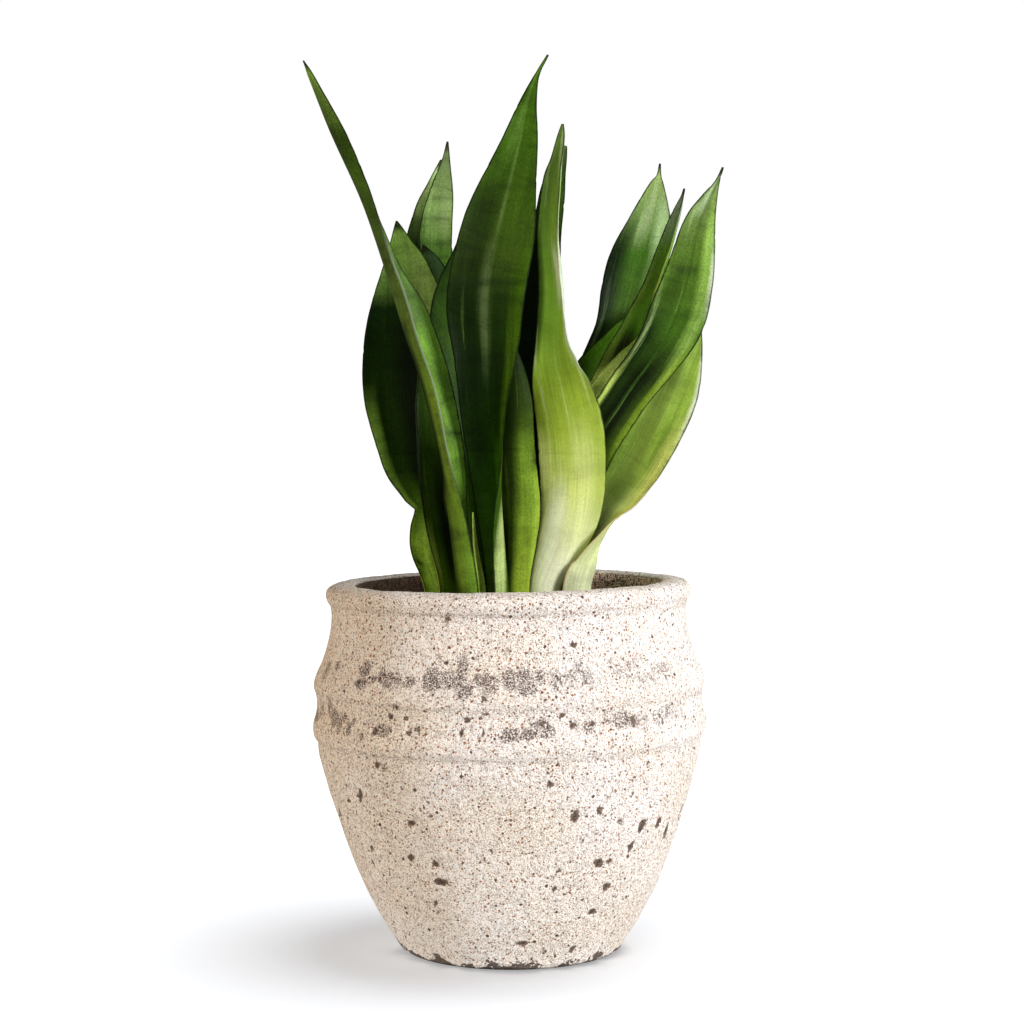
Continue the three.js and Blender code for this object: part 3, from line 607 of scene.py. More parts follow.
def rough_stoneware(settings):
    """Coarse grogged stoneware, thrown, sanded and dry: a matt sandy cream with rust-brown iron specks,
    torn grey pits and two rubbed slip bands, which give it its weathered, hand-made look."""
    material, add, shader = start_material("rough_grogged_stoneware")
    place = add("ShaderNodeTexCoord").outputs["Object"]
    side, _, height = add("ShaderNodeSeparateXYZ", {0: place}).outputs
    clay = add("ShaderNodeAttribute", attribute_name="clay").outputs["Vector"]
    within, pit_rim, smudge = add("ShaderNodeSeparateXYZ", {0: clay}).outputs

    # Sand grains of about a millimetre, grit of about 3 mm, clouds of about 60 mm, and the blots of
    # 4 mm and waves of 17 mm that break up the smudges and the foot's edge
    grain, grit, cloud, blots, wave = (
        add("ShaderNodeTexNoise", {"Vector": place, "Scale": scale, "Detail": detail,
                                   "Roughness": roughness}).outputs[0]
        for scale, detail, roughness in (
            (1 / settings.grain, 2.0, 0.65), (0.28 / settings.grain, 4.0, 0.6), (17.0, 2.0, 0.5),
            (230.0, 5.0, 0.72), (60.0, 4.0, 0.65))
    )
    tone = add("ShaderNodeMapRange", {0: cloud, 1: 0.35, 2: 0.65}).outputs[0]
    colour = add("ShaderNodeMix", {0: tone, 6: tuple(settings.clay), 7: tuple(settings.clay_warm)},
                 data_type="RGBA").outputs[2]
    hollow = add("ShaderNodeMapRange", {0: grain, 1: 0.46, 2: 0.35, 4: 0.7}).outputs[0]
    colour = add("ShaderNodeMix", {0: hollow, 6: colour, 7: linear("#a06e34")}, data_type="RGBA").outputs[2]
    sand = add("ShaderNodeMapRange", {0: grain, 1: 0.46, 2: 0.64, 3: 0.96, 4: 1.36}).outputs[0]
    coarse = add("ShaderNodeMapRange", {0: grit, 1: 0.3, 2: 0.7, 3: 0.78, 4: 1.2}).outputs[0]
    shade = add("ShaderNodeMath", {0: sand, 1: coarse}, operation="MULTIPLY").outputs[0]
    colour = add("ShaderNodeVectorMath", {0: colour, "Scale": shade}, operation="SCALE").outputs[0]

    # What lies over the clay, as shares and colours from the lowest layer up. First the specks, one to
    # a cell: sand of 1.1 mm, rust of 2.2 mm, burnt iron of 4.5 mm and black iron of 7 mm
    layers = []
    for cell, fewest, smallest, largest, strength, light, dark in (
        (0.0011, 0.2, 0.16, 0.38, 0.75, "#a4733f", "#6f4e34"),
        (0.0022, 0.25, 0.14, 0.36, 0.95, "#b06f30", "#7a4f2e"),
        (0.0045, 0.3, 0.08, 0.22, 0.95, "#8c4f24", "#45301f"),
        (0.0070, 0.35, 0.09, 0.19, 0.95, "#5d4030", "#33251d"),
    ):
        cells = add("ShaderNodeTexVoronoi", {"Vector": place, "Scale": 1 / cell})
        lot, hue, _ = add("ShaderNodeSeparateXYZ", {0: cells.outputs["Color"]}).outputs
        size = add("ShaderNodeMapRange", {0: lot, 1: fewest, 3: smallest, 4: largest}).outputs[0]
        chosen = add("ShaderNodeMath", {0: lot, 1: fewest}, operation="GREATER_THAN").outputs[0]
        size = add("ShaderNodeMath", {0: size, 1: chosen}, operation="MULTIPLY").outputs[0]
        past = add("ShaderNodeMath", {0: size, 1: cells.outputs["Distance"]}, operation="SUBTRACT").outputs[0]
        speck = add("ShaderNodeMapRange", {0: past, 2: 0.05, 4: strength}).outputs[0]
        iron = add("ShaderNodeMix", {0: hue, 6: linear(light), 7: linear(dark)}, data_type="RGBA").outputs[2]
        layers.append((speck, iron))
    rust = layers[1][0]

    # Rubbed smudges, broken up by the grit
    ragged = add("ShaderNodeMapRange", {0: blots, 1: 0.38, 2: 0.55, 3: 0.5, 4: 1.6}).outputs[0]
    smeared = add("ShaderNodeMath", {0: smudge, 1: ragged}, operation="MULTIPLY").outputs[0]
    smeared = add("ShaderNodeMapRange", {0: smeared, 1: 0.2, 2: 0.85}).outputs[0]
    rubbed = add("ShaderNodeMapRange", {0: grain, 1: 0.45, 2: 0.58, 3: 1.0, 4: 0.25}).outputs[0]
    smeared = add("ShaderNodeMath", {0: smeared, 1: rubbed}, operation="MULTIPLY").outputs[0]
    layers.append((smeared, tuple(settings.smudge)))

    # Painted shade along the thrown grooves, broken up by the grain
    for level, _ in GROOVES:
        off = add("ShaderNodeMath", {0: height, 1: level * MM}, operation="SUBTRACT").outputs[0]
        off = add("ShaderNodeMath", {0: off}, operation="ABSOLUTE").outputs[0]
        groove_shade = add("ShaderNodeMapRange", {0: off, 1: 0.0004, 2: 0.0018, 3: 0.3, 4: 0.0}).outputs[0]
        groove_shade = add("ShaderNodeMath", {0: groove_shade, 1: rubbed}, operation="MULTIPLY").outputs[0]
        layers.append((groove_shade, linear("#8b7460")))

    # Torn pits: the placed ones, and small ones one to a cell of 15 mm
    torn = add("ShaderNodeMath", {0: grit, 1: 5.6, 2: -2.8}, operation="MULTIPLY_ADD").outputs[0]
    rim = add("ShaderNodeMath", {0: pit_rim, 1: torn}, operation="ADD").outputs[0]
    placed = add("ShaderNodeMapRange", {0: rim, 1: 0.1, 2: -0.4, 4: 0.95}).outputs[0]
    shaken = add("ShaderNodeTexNoise", {"Vector": place, "Scale": 420.0}).outputs["Color"]
    shift = add("ShaderNodeVectorMath", {0: shaken, "Scale": 0.0022}, operation="SCALE").outputs[0]
    moved = add("ShaderNodeVectorMath", {0: place, 1: shift}, operation="ADD").outputs[0]
    holes = add("ShaderNodeTexVoronoi", {"Vector": moved, "Scale": 1 / 0.015})
    chance = add("ShaderNodeSeparateXYZ", {0: holes.outputs["Color"]}).outputs[0]
    hole_size = add("ShaderNodeMapRange", {0: chance, 1: 0.45, 3: -0.02, 4: 0.1}).outputs[0]
    deep = add("ShaderNodeMath", {0: hole_size, 1: holes.outputs["Distance"]}, operation="SUBTRACT")
    small = add("ShaderNodeMapRange", {0: deep.outputs[0], 1: -0.005, 2: 0.012}).outputs[0]
    pitted = add("ShaderNodeMath", {0: placed, 1: small}, operation="MAXIMUM").outputs[0]
    shallow = add("ShaderNodeMath", {0: grain, 1: 5.0, 2: rim}, operation="MULTIPLY_ADD").outputs[0]
    shallow = add("ShaderNodeMapRange", {0: shallow, 1: 0.3, 2: 2.2}).outputs[0]
    pit_colour = add("ShaderNodeMix", {0: shallow, 6: tuple(settings.pit), 7: linear("#8a7262")},
                     data_type="RGBA").outputs[2]
    layers.append((pitted, pit_colour))

    # The chipped dark edge of the foot
    edge = add("ShaderNodeMapRange", {0: wave, 1: 0.42, 2: 0.64, 3: 0.0004, 4: 0.0105}).outputs[0]
    chipped = add("ShaderNodeMath", {0: edge, 1: height}, operation="SUBTRACT").outputs[0]
    chipped = add("ShaderNodeMapRange", {0: chipped, 1: -0.0003, 2: 0.0004, 4: 0.92}).outputs[0]
    bare = add("ShaderNodeMix", {0: grain, 6: linear("#33271f"), 7: linear("#6d5a4e")}, data_type="RGBA")
    layers.append((chipped, bare.outputs[2]))

    # The inside is unglazed and coarse, painted dark brown: partly the bare clay and soil dust, partly
    # painted shade, with more painted shade at the left
    coarse_grain = add("ShaderNodeMath", {0: grit, 1: 0.35, 2: grain}, operation="MULTIPLY_ADD").outputs[0]
    coarse_grain = add("ShaderNodeMapRange", {0: coarse_grain, 1: 0.63, 2: 0.72}).outputs[0]
    # Painted shade: the inside wall is darker at the left than at the right
    dry = add("ShaderNodeMapRange", {0: side, 1: -0.06, 2: 0.05}).outputs[0]
    crumb = add("ShaderNodeMix", {0: dry, 6: linear("#6b4c2c"), 7: linear("#ffdac6")}, data_type="RGBA")
    inside_dirt_and_shade = add("ShaderNodeMix", {0: coarse_grain, 6: linear("#120a06"), 7: crumb.outputs[2]},
                data_type="RGBA")
    stained_and_shaded = add("ShaderNodeMapRange", {0: within, 1: 0.15, 2: 0.6, 4: 0.97}).outputs[0]
    layers.append((stained_and_shaded, inside_dirt_and_shade.outputs[2]))

    for share, tint in layers:
        colour = add("ShaderNodeMix", {0: share, 6: colour, 7: tint}, data_type="RGBA").outputs[2]

    # Relief in millimetres
    relief = grain
    for part, depth in ((grit, 2.0), (pitted, -0.9), (rust, -0.25), (chipped, -0.5)):
        relief = add("ShaderNodeMath", {0: part, 1: depth, 2: relief}, operation="MULTIPLY_ADD").outputs[0]
    bump = add("ShaderNodeBump", {"Height": relief, "Distance": MM})
    set_inputs(shader, {"Base Color": colour, "Normal": bump.outputs[0], "Roughness": 0.92,
                        "Specular IOR Level": 0.25})
    return material


def potting_soil():
    """Peat potting compost, pressed and dry on top: dark brown, matt and crumbly, with paler fibres."""
    material, add, shader = start_material("peat_potting_soil")
    place = add("ShaderNodeTexCoord").outputs["Object"]
    crumbs, clods = (
        add("ShaderNodeTexNoise", {"Vector": place, "Scale": scale, "Detail": detail,
                                   "Roughness": roughness}).outputs[0]
        for scale, detail, roughness in ((420.0, 4.0, 0.7), (80.0, 3.0, 0.5))
    )
    ramp = add("ShaderNodeValToRGB", {0: crumbs})
    fill_ramp(ramp, [(0.3, "#17100b"), (0.5, "#3a2a1e"), (0.7, "#6b5440")])
    damp = add("ShaderNodeMapRange", {0: clods, 1: 0.3, 2: 0.7, 3: 0.7, 4: 1.15}).outputs[0]
    colour = add("ShaderNodeVectorMath", {0: ramp.outputs[0], "Scale": damp}, operation="SCALE").outputs[0]
    relief = add("ShaderNodeMath", {0: clods, 1: 2.0, 2: crumbs}, operation="MULTIPLY_ADD").outputs[0]
    bump = add("ShaderNodeBump", {"Height": relief, "Distance": 1.5 * MM})
    set_inputs(shader, {"Base Color": colour, "Normal": bump.outputs[0], "Roughness": 1.0,
                        "Specular IOR Level": 0.15})
    return material


def waxy_leaf(name, look, settings):
    """A living snake plant leaf under its waxy cuticle: satin green that pales towards the buried base,
    with fine lengthwise fibres, soft cross bands, a thin near-black margin and a dry brown point. Its
    colours by height and its strips also hold painted shade, painted shadows and painted highlights."""
    material, add, shader = start_material("waxy_" + name)
    place = add("ShaderNodeTexCoord").outputs["Object"]
    height = add("ShaderNodeSeparateXYZ", {0: place}).outputs[2]
    strips = look.get("strips", [])
    blade, rim, *trios = (
        add("ShaderNodeAttribute", attribute_name=title).outputs["Vector"]
        for title in ("blade", "rim", *(f"stain_and_shade_{k}" for k in range(mask_trios(strips))))
    )
    off_middle, _, side = add("ShaderNodeSeparateXYZ", {0: blade}).outputs
    to_margin, to_point, _ = add("ShaderNodeSeparateXYZ", {0: rim}).outputs
    scarred, *stained_and_shaded = (mask for trio in trios for mask in add("ShaderNodeSeparateXYZ", {0: trio}).outputs)

    # Fibres about 1 mm apart and 30 mm long, stripes of about 6 mm and cross bands about 12 mm apart;
    # then patches of about 25 mm and pores of about a millimetre
    fibres, stripes, bands = (
        add("ShaderNodeTexNoise", {
            "Vector": add("ShaderNodeVectorMath", {0: blade, 1: stretch}, operation="MULTIPLY").outputs[0],
            "Scale": 1.0, "Detail": detail, "Roughness": roughness, "Distortion": distortion}).outputs[0]
        for stretch, detail, roughness, distortion in (
            ((900.0, 34.0, 0.0), 3.0, 0.6, 0.0), ((160.0, 8.0, 0.0), 5.0, 0.62, 0.3),
            ((30.0, 80.0, 0.0), 5.0, 0.62, 1.2))
    )
    patches, pores = (
        add("ShaderNodeTexNoise", {"Vector": place, "Scale": scale, "Detail": detail}).outputs[0]
        for scale, detail in ((40.0, 3.0), (900.0, 2.0))
    )

    # The colours by height, their borders torn lengthwise, then the strips (stains, painted shade and
    # painted highlights) and the midrib over them
    tear = look.get("tear", 0.9)
    fray = 0.022 * tear
    frayed = add("ShaderNodeMath", {0: stripes, 1: fray, 2: height}, operation="MULTIPLY_ADD").outputs[0]
    along = add("ShaderNodeMapRange", {0: frayed, 1: RAMP_FROM + fray / 2, 2: RAMP_TO + fray / 2}).outputs[0]
    ramp = add("ShaderNodeValToRGB", {0: along})
    fill_ramp(ramp, [((at * MM - RAMP_FROM) / (RAMP_TO - RAMP_FROM), tint) for at, tint in look["stops"]])
    colour = ramp.outputs[0]
    layers = []
    for mask, (*_, tint, strength) in zip(stained_and_shaded, (strip[:7] for strip in strips)):
        torn = add("ShaderNodeMath", {0: stripes, 1: tear, 2: mask}, operation="MULTIPLY_ADD").outputs[0]
        part = add("ShaderNodeMapRange", {0: torn, 1: 0.05 + tear / 2, 2: 1.0 + tear / 2, 4: float(strength)})
        layers.append((part.outputs[0], tint))
    if "midrib" in look:
        tint, strength = look["midrib"]
        off = add("ShaderNodeMath", {0: off_middle}, operation="ABSOLUTE").outputs[0]
        rib = add("ShaderNodeMapRange", {0: off, 1: 0.0004, 2: 0.0016, 3: strength, 4: 0.0}).outputs[0]
        thin = add("ShaderNodeMapRange", {0: stripes, 1: 0.35, 2: 0.6}).outputs[0]
        layers.append((add("ShaderNodeMath", {0: rib, 1: thin}, operation="MULTIPLY").outputs[0], tint))
    for share, tint in layers:
        colour = add("ShaderNodeMix", {0: share, 6: colour, 7: linear(tint)}, data_type="RGBA").outputs[2]

    # Light and dark by the fibres, stripes, bands, patches and pores
    streak, band = look.get("streaks", 0.3), look.get("bands", 0.2)
    blot, dots = look.get("mottle", 0.15), 0.23 * look.get("grain", 1.0)
    shade = 1.0
    for pattern, low, high, dim, lit in (
        (fibres, 0.3, 0.7, 1 - streak / 3, 1 + streak / 3),
        (stripes, 0.3, 0.7, 1 - 0.8 * streak, 1 + 0.8 * streak),
        (bands, 0.36, 0.52, 1 - band, 1.0),
        (patches, 0.35, 0.65, 1 - blot / 2, 1 + blot / 2),
        (pores, 0.3, 0.7, 1 - dots, 1 + dots),
    ):
        part = add("ShaderNodeMapRange", {0: pattern, 1: low, 2: high, 3: dim, 4: lit}).outputs[0]
        shade = add("ShaderNodeMath", {0: shade, 1: part}, operation="MULTIPLY").outputs[0]
    colour = add("ShaderNodeVectorMath", {0: colour, "Scale": shade}, operation="SCALE").outputs[0]

    scar = add("ShaderNodeMapRange", {0: bands, 1: 0.4, 2: 0.66, 3: 1.0, 4: 0.45}).outputs[0]
    scar = add("ShaderNodeMath", {0: scar, 1: scarred}, operation="MULTIPLY").outputs[0]

    # The pale margin painted as a highlight where there is one, the dark margin elsewhere and the dry point
    highlight_side, low, high, highlight_strength, highlight_colour = look.get("pale_edge_highlight", (1, 0, 0.1, 0, "#ffffff"))
    on_side = add("ShaderNodeMath", {0: side, 1: float(highlight_side)}, operation="MULTIPLY").outputs[0]
    on_side = add("ShaderNodeMath", {0: on_side, 1: 0.3}, operation="GREATER_THAN").outputs[0]
    edge_highlight = add("ShaderNodeMapRange", {0: frayed, 1: low * MM - 0.01, 2: low * MM + 0.02}).outputs[0]
    below = add("ShaderNodeMapRange", {0: frayed, 1: high * MM + 0.02, 2: high * MM - 0.01}).outputs[0]
    for part in (below, on_side, float(highlight_strength)):
        edge_highlight = add("ShaderNodeMath", {0: edge_highlight, 1: part}, operation="MULTIPLY").outputs[0]
    ragged = add("ShaderNodeMath", {0: bands, 1: 0.0022, 2: to_margin}, operation="MULTIPLY_ADD").outputs[0]
    pale = add("ShaderNodeMapRange", {0: ragged, 1: 0.0022, 2: 0.0014}).outputs[0]
    pale = add("ShaderNodeMath", {0: pale, 1: edge_highlight}, operation="MULTIPLY").outputs[0]
    kept = add("ShaderNodeMath", {0: look.get("margin", 0.85), 1: edge_highlight}, operation="SUBTRACT",
               use_clamp=True).outputs[0]
    line = add("ShaderNodeMath", {0: bands, 1: 0.0014, 2: to_margin}, operation="MULTIPLY_ADD").outputs[0]
    dark = add("ShaderNodeMapRange", {0: line, 1: 0.0012 + settings.margin, 2: 0.0006 + settings.margin,
                                      4: kept}).outputs[0]
    point = add("ShaderNodeMath", {0: patches, 1: 0.005, 2: to_point}, operation="MULTIPLY_ADD").outputs[0]
    dry = add("ShaderNodeMapRange", {0: point, 1: settings.point + 0.0045, 2: settings.point,
                                     4: 0.9 * look.get("dry", 1)}).outputs[0]
    for share, tint in ((scar, "#16260a"), (pale, highlight_colour), (dark, "#10170a"), (dry, "#1d2412")):
        colour = add("ShaderNodeMix", {0: share, 6: colour, 7: linear(tint)}, data_type="RGBA").outputs[2]

    relief = 0.0
    for part, depth in ((fibres, 0.22), (bands, 0.35), (pores, 0.2 * dots)):
        relief = add("ShaderNodeMath", {0: part, 1: depth, 2: relief}, operation="MULTIPLY_ADD").outputs[0]
    bump = add("ShaderNodeBump", {"Height": relief, "Distance": MM})
    satin = add("ShaderNodeMapRange", {0: patches, 1: 0.3, 2: 0.7, 3: 0.38, 4: 0.52}).outputs[0]
    set_inputs(shader, {"Base Color": colour, "Roughness": satin, "Normal": bump.outputs[0],
                        "Specular IOR Level": look.get("shine", 0.07)})
    return material


# ---------------------------------------------------------------------------------------------
# The leaf's shape
# ---------------------------------------------------------------------------------------------


def spline(points, places):
    """A uniform Catmull-Rom line through all columns of points, read at places counted in spans."""
    padded = np.vstack([2 * points[0] - points[1], points, 2 * points[-1] - points[-2]])
    span = np.minimum(np.floor(places).astype(int), len(points) - 2)
    t = (places - span)[:, None]
    p0, p1, p2, p3 = (padded[span + k] for k in range(4))
    first, second, third = p2 - p0, 2 * p0 - 5 * p1 + 4 * p2 - p3, 3 * p1 - p0 - 3 * p2 + p3
    at = 0.5 * (2 * p1 + first * t + second * t**2 + third * t**3)
    towards = 0.5 * (first + 2 * second * t + 3 * third * t**2)
    return at, towards


def blend_between(low, high, share):
    return low + (high - low) * share


def mask_trios(strips):
    """How many attributes of three masks hold the marks and one mask for each strip."""
    return math.ceil((1 + len(strips)) / 3)


def leaf_shape(look, seed, settings):
    """The points, faces and surface attributes of one leaf, in millimetres."""
    path = np.array(look["path"], float)
    spans = len(path) - 1
    lengths = np.linalg.norm(np.diff(path[:, :3], axis=0), axis=1)
    counts = [max(2, math.ceil(length / (settings.ring_spacing / MM))) for length in lengths]
    places = np.concatenate([k + np.arange(count) / count for k, count in enumerate(counts)] + [[spans]])
    station, towards = spline(path, places)
    centre, half = station[:, :3], station[:, 3]
    along = towards[:, :3] / np.linalg.norm(towards[:, :3], axis=1, keepdims=True)
    turn, curl = np.radians(station[:, 4]), station[:, 5]
    across = np.stack([np.cos(turn), np.sin(turn), np.zeros_like(turn)], axis=1)
    across -= along * np.sum(across * along, axis=1, keepdims=True)
    across /= np.linalg.norm(across, axis=1, keepdims=True)
    facing = np.cross(across, along)
    share = places / spans
    whole, _ = spline(path[:, :3], np.linspace(0, spans, 201))
    phase = 2 * math.pi * share * np.linalg.norm(np.diff(whole, axis=0), axis=1).sum() / WAVE_LENGTH
    walked = np.concatenate([[0], np.cumsum(np.linalg.norm(np.diff(centre, axis=0), axis=1))])

    width = np.maximum(half, 0.6)
    bend = np.radians(np.where(np.abs(curl) < 1, 1, curl))
    radius = width / bend
    middle = blend_between(BASE_THICKNESS, BLADE_THICKNESS, smooth_step(share, 0, BASE_SHARE))
    thickest = np.minimum(middle, np.maximum(EDGE_THICKNESS, half / 2))
    waving = smooth_step(centre[:, 2], WAVES_FROM, WAVES_FULL_AT) * np.minimum(1, half / WAVES_FULL_WIDTH)

    columns = settings.columns
    sides = np.sin(np.linspace(-math.pi / 2, math.pi / 2, columns + 1))
    sides = 0.45 * sides + 0.55 * np.linspace(-1, 1, columns + 1)
    strips = look.get("strips", [])
    loops, attributes = [], {"blade": [], "rim": []}
    masked = [[] for _ in range(3 * mask_trios(strips))]

    def column(side, face):
        """One lengthwise row of points; face is 1 in front, -1 behind and 0 on the very margin."""
        outer = abs(side) ** 6
        nicks = np.maximum(0, wobble(walked, NICK_SPACING, seed + (9 if side > 0 else 0)) - 0.55)
        nick = 1 - outer * nicks * np.minimum(1, NICK_DEPTH / width)
        angle = side * bend * nick
        wave = WAVE_DEPTH * waving * side**2 * np.sin(phase + (WAVE_LAG if side > 0 else 0))
        flutter = wobble(walked, FLUTTER_LENGTH, seed + (5 if side > 0 else 3))
        wave = wave + FLUTTER_DEPTH * waving * side**4 * flutter
        normal = -across * np.sin(angle)[:, None] + facing * np.cos(angle)[:, None]
        outward = across * np.cos(angle)[:, None] + facing * np.sin(angle)[:, None]
        thick = blend_between(thickest, EDGE_THICKNESS, side**2) / 2
        point = centre + normal * (wave + face * thick)[:, None]
        point = point + across * (radius * np.sin(angle))[:, None]
        point = point + facing * (radius * (1 - np.cos(angle)))[:, None]
        if face == 0:
            rounding = math.copysign(MARGIN_ROUNDING, side) * np.minimum(1, width / 3)
            point = point + outward * rounding[:, None]
        loops.append(point)
        none = np.zeros_like(width)
        to_margin, to_point = (1 - abs(side)) * width, walked[-1] - walked
        attributes["blade"].append(np.stack([side * width * MM, walked * MM, none + side], axis=1))
        attributes["rim"].append(np.stack([to_margin * MM, to_point * MM, none], axis=1))
        scarred = none
        for level, at, tall, spread, strength in look.get("marks", []):
            beside = math.exp(-(((side - at) / (1.5 * spread)) ** 4))
            scarred = np.maximum(scarred, strength * beside * np.exp(-(((point[:, 2] - level) / tall) ** 2)))
        masks = [scarred]
        for low, high, from_side, to_side, spread, _, _, *only in strips:
            if only and face == -only[0]:
                masks.append(none)
                continue
            at = blend_between(from_side, to_side, (point[:, 2] - low) / (high - low))
            soft = min(42, (high - low) / 2.4)
            rise, fall = (smooth_step(point[:, 2], start, start + soft) for start in (low, high - soft))
            masks.append(rise * (1 - fall) * np.clip(1.1 - ((side - at) / spread) ** 2, 0, 1))
        for rows, mask in zip(masked, masks + [none] * 2):
            rows.append(mask)

    for side in sides:
        column(side, 1)
    column(1.0, 0)
    for side in sides[::-1]:
        column(side, -1)
    column(-1.0, 0)

    around = len(loops)
    rings = len(centre)
    points = np.stack(loops, axis=1).reshape(-1, 3)
    values = {name: np.stack(rows, axis=1).reshape(-1, 3) for name, rows in attributes.items()}
    for k in range(mask_trios(strips)):
        trio = [np.stack(rows, axis=1).ravel() for rows in masked[3 * k : 3 * k + 3]]
        values[f"stain_and_shade_{k}"] = np.stack(trio, axis=1)
    faces = []
    for k in range(rings - 1):
        low, high = k * around, (k + 1) * around
        for i in range(around):
            j = (i + 1) % around
            faces.append((low + i, low + j, high + j, high + i))
    row = columns + 1
    top = (rings - 1) * around
    for i in range(columns):
        front, back = i, 2 * row - i
        faces.append((front, back, back - 1, front + 1))
        faces.append((top + front + 1, top + back - 1, top + back, top + front))
    faces += [(columns, row + 1, row), (2 * row + 1, 2 * row, 0)]
    faces += [(top + row, top + row + 1, top + columns), (top, top + 2 * row, top + 2 * row + 1)]
    return points, faces, values


# ---------------------------------------------------------------------------------------------
# Settings
# ---------------------------------------------------------------------------------------------


class PotSettings(bpy.types.PropertyGroup):
    """Sizes and colours of the stoneware pot"""

    segments: IntProperty(name="Segments", description="Faces around the pot", default=352, min=24)
    unevenness: FloatProperty(name="Unevenness", description="How far the hand-thrown wall strays from true",
                              default=0.55 * MM, min=0, unit="LENGTH", precision=5)
    grain: FloatProperty(name="Grain", description="Size of the sand grains", default=0.85 * MM, min=0.1 * MM,
                         unit="LENGTH", precision=5)
    clay: FloatVectorProperty(name="Clay", description="Colour of the dry clay", subtype="COLOR", size=4,
                              default=linear("#fcf6f0"))
    clay_warm: FloatVectorProperty(name="Warm clay", description="Colour of the ochre clouds in the clay",
                                   subtype="COLOR", size=4, default=linear("#f5ebde"))
    smudge: FloatVectorProperty(name="Smudge", description="Colour of the rubbed bands",
                                subtype="COLOR", size=4, default=linear("#66524a"))
    pit: FloatVectorProperty(name="Pit", description="Colour inside the torn pits", subtype="COLOR", size=4,
                             default=linear("#3b2c24"))
    seed: IntProperty(name="Seed", description="Lays out the marks on the far side", default=4, min=0)


class SoilSettings(bpy.types.PropertyGroup):
    """Sizes of the potting soil's crumbs"""

    density: FloatProperty(name="Crumbs", description="Crumbs on a square metre of soil",
                           default=190000.0, min=0)
    crumb: FloatProperty(name="Crumb size", description="Half the width of a middling crumb",
                         default=1.15 * MM, min=0.1 * MM, unit="LENGTH", precision=5)
    seed: IntProperty(name="Seed", description="Scatters the crumbs", default=7, min=0)


class LeafSettings(bpy.types.PropertyGroup):
    """Sizes of the leaves"""

    columns: IntProperty(name="Columns", description="Faces across a blade", default=26, min=6)
    ring_spacing: FloatProperty(name="Ring spacing", description="Length of the faces along a blade",
                                default=2.4 * MM, min=0.5 * MM, unit="LENGTH", precision=5)
    margin: FloatProperty(name="Margin", description="Width of the dark line along a blade's edge",
                          default=0.3 * MM, min=0, unit="LENGTH", precision=5)
    point: FloatProperty(name="Dry point", description="Length of the dry brown point", default=6 * MM, min=0,
                         unit="LENGTH", precision=5)


class StageSettings(bpy.types.PropertyGroup):
    """The floor, the lights and the camera"""

    floor: FloatVectorProperty(name="Floor", description="Colour of the floor", subtype="COLOR", size=4,
                               default=linear("#e9edf4"))
    key: FloatProperty(name="Key light", description="Power of the soft light at the front right",
                       default=33.0, min=0, unit="POWER")
    front: FloatProperty(name="Front light", description="Power of the broad weak light at the front left",
                         default=9.0, min=0, unit="POWER")
    rim: FloatProperty(name="Rim light", description="Power of the soft light at the back right",
                       default=10.0, min=0, unit="POWER")
    fill: FloatProperty(name="Warm light", description="Power of the low warm light at the left",
                        default=1.25, min=0, unit="POWER")
    bounce: FloatProperty(name="Floor light", description="Power of the light that the floor throws back up",
                          default=0.9, min=0, unit="POWER")
    above: FloatProperty(name="Light on the floor", default=24.0, min=0, unit="POWER",
                         description="Power of the soft light that only the floor gets")
    ambient: FloatProperty(name="Ambient", description="Strength of the light from all round",
                           default=0.17, min=0)


# ---------------------------------------------------------------------------------------------
# Operators
# ---------------------------------------------------------------------------------------------


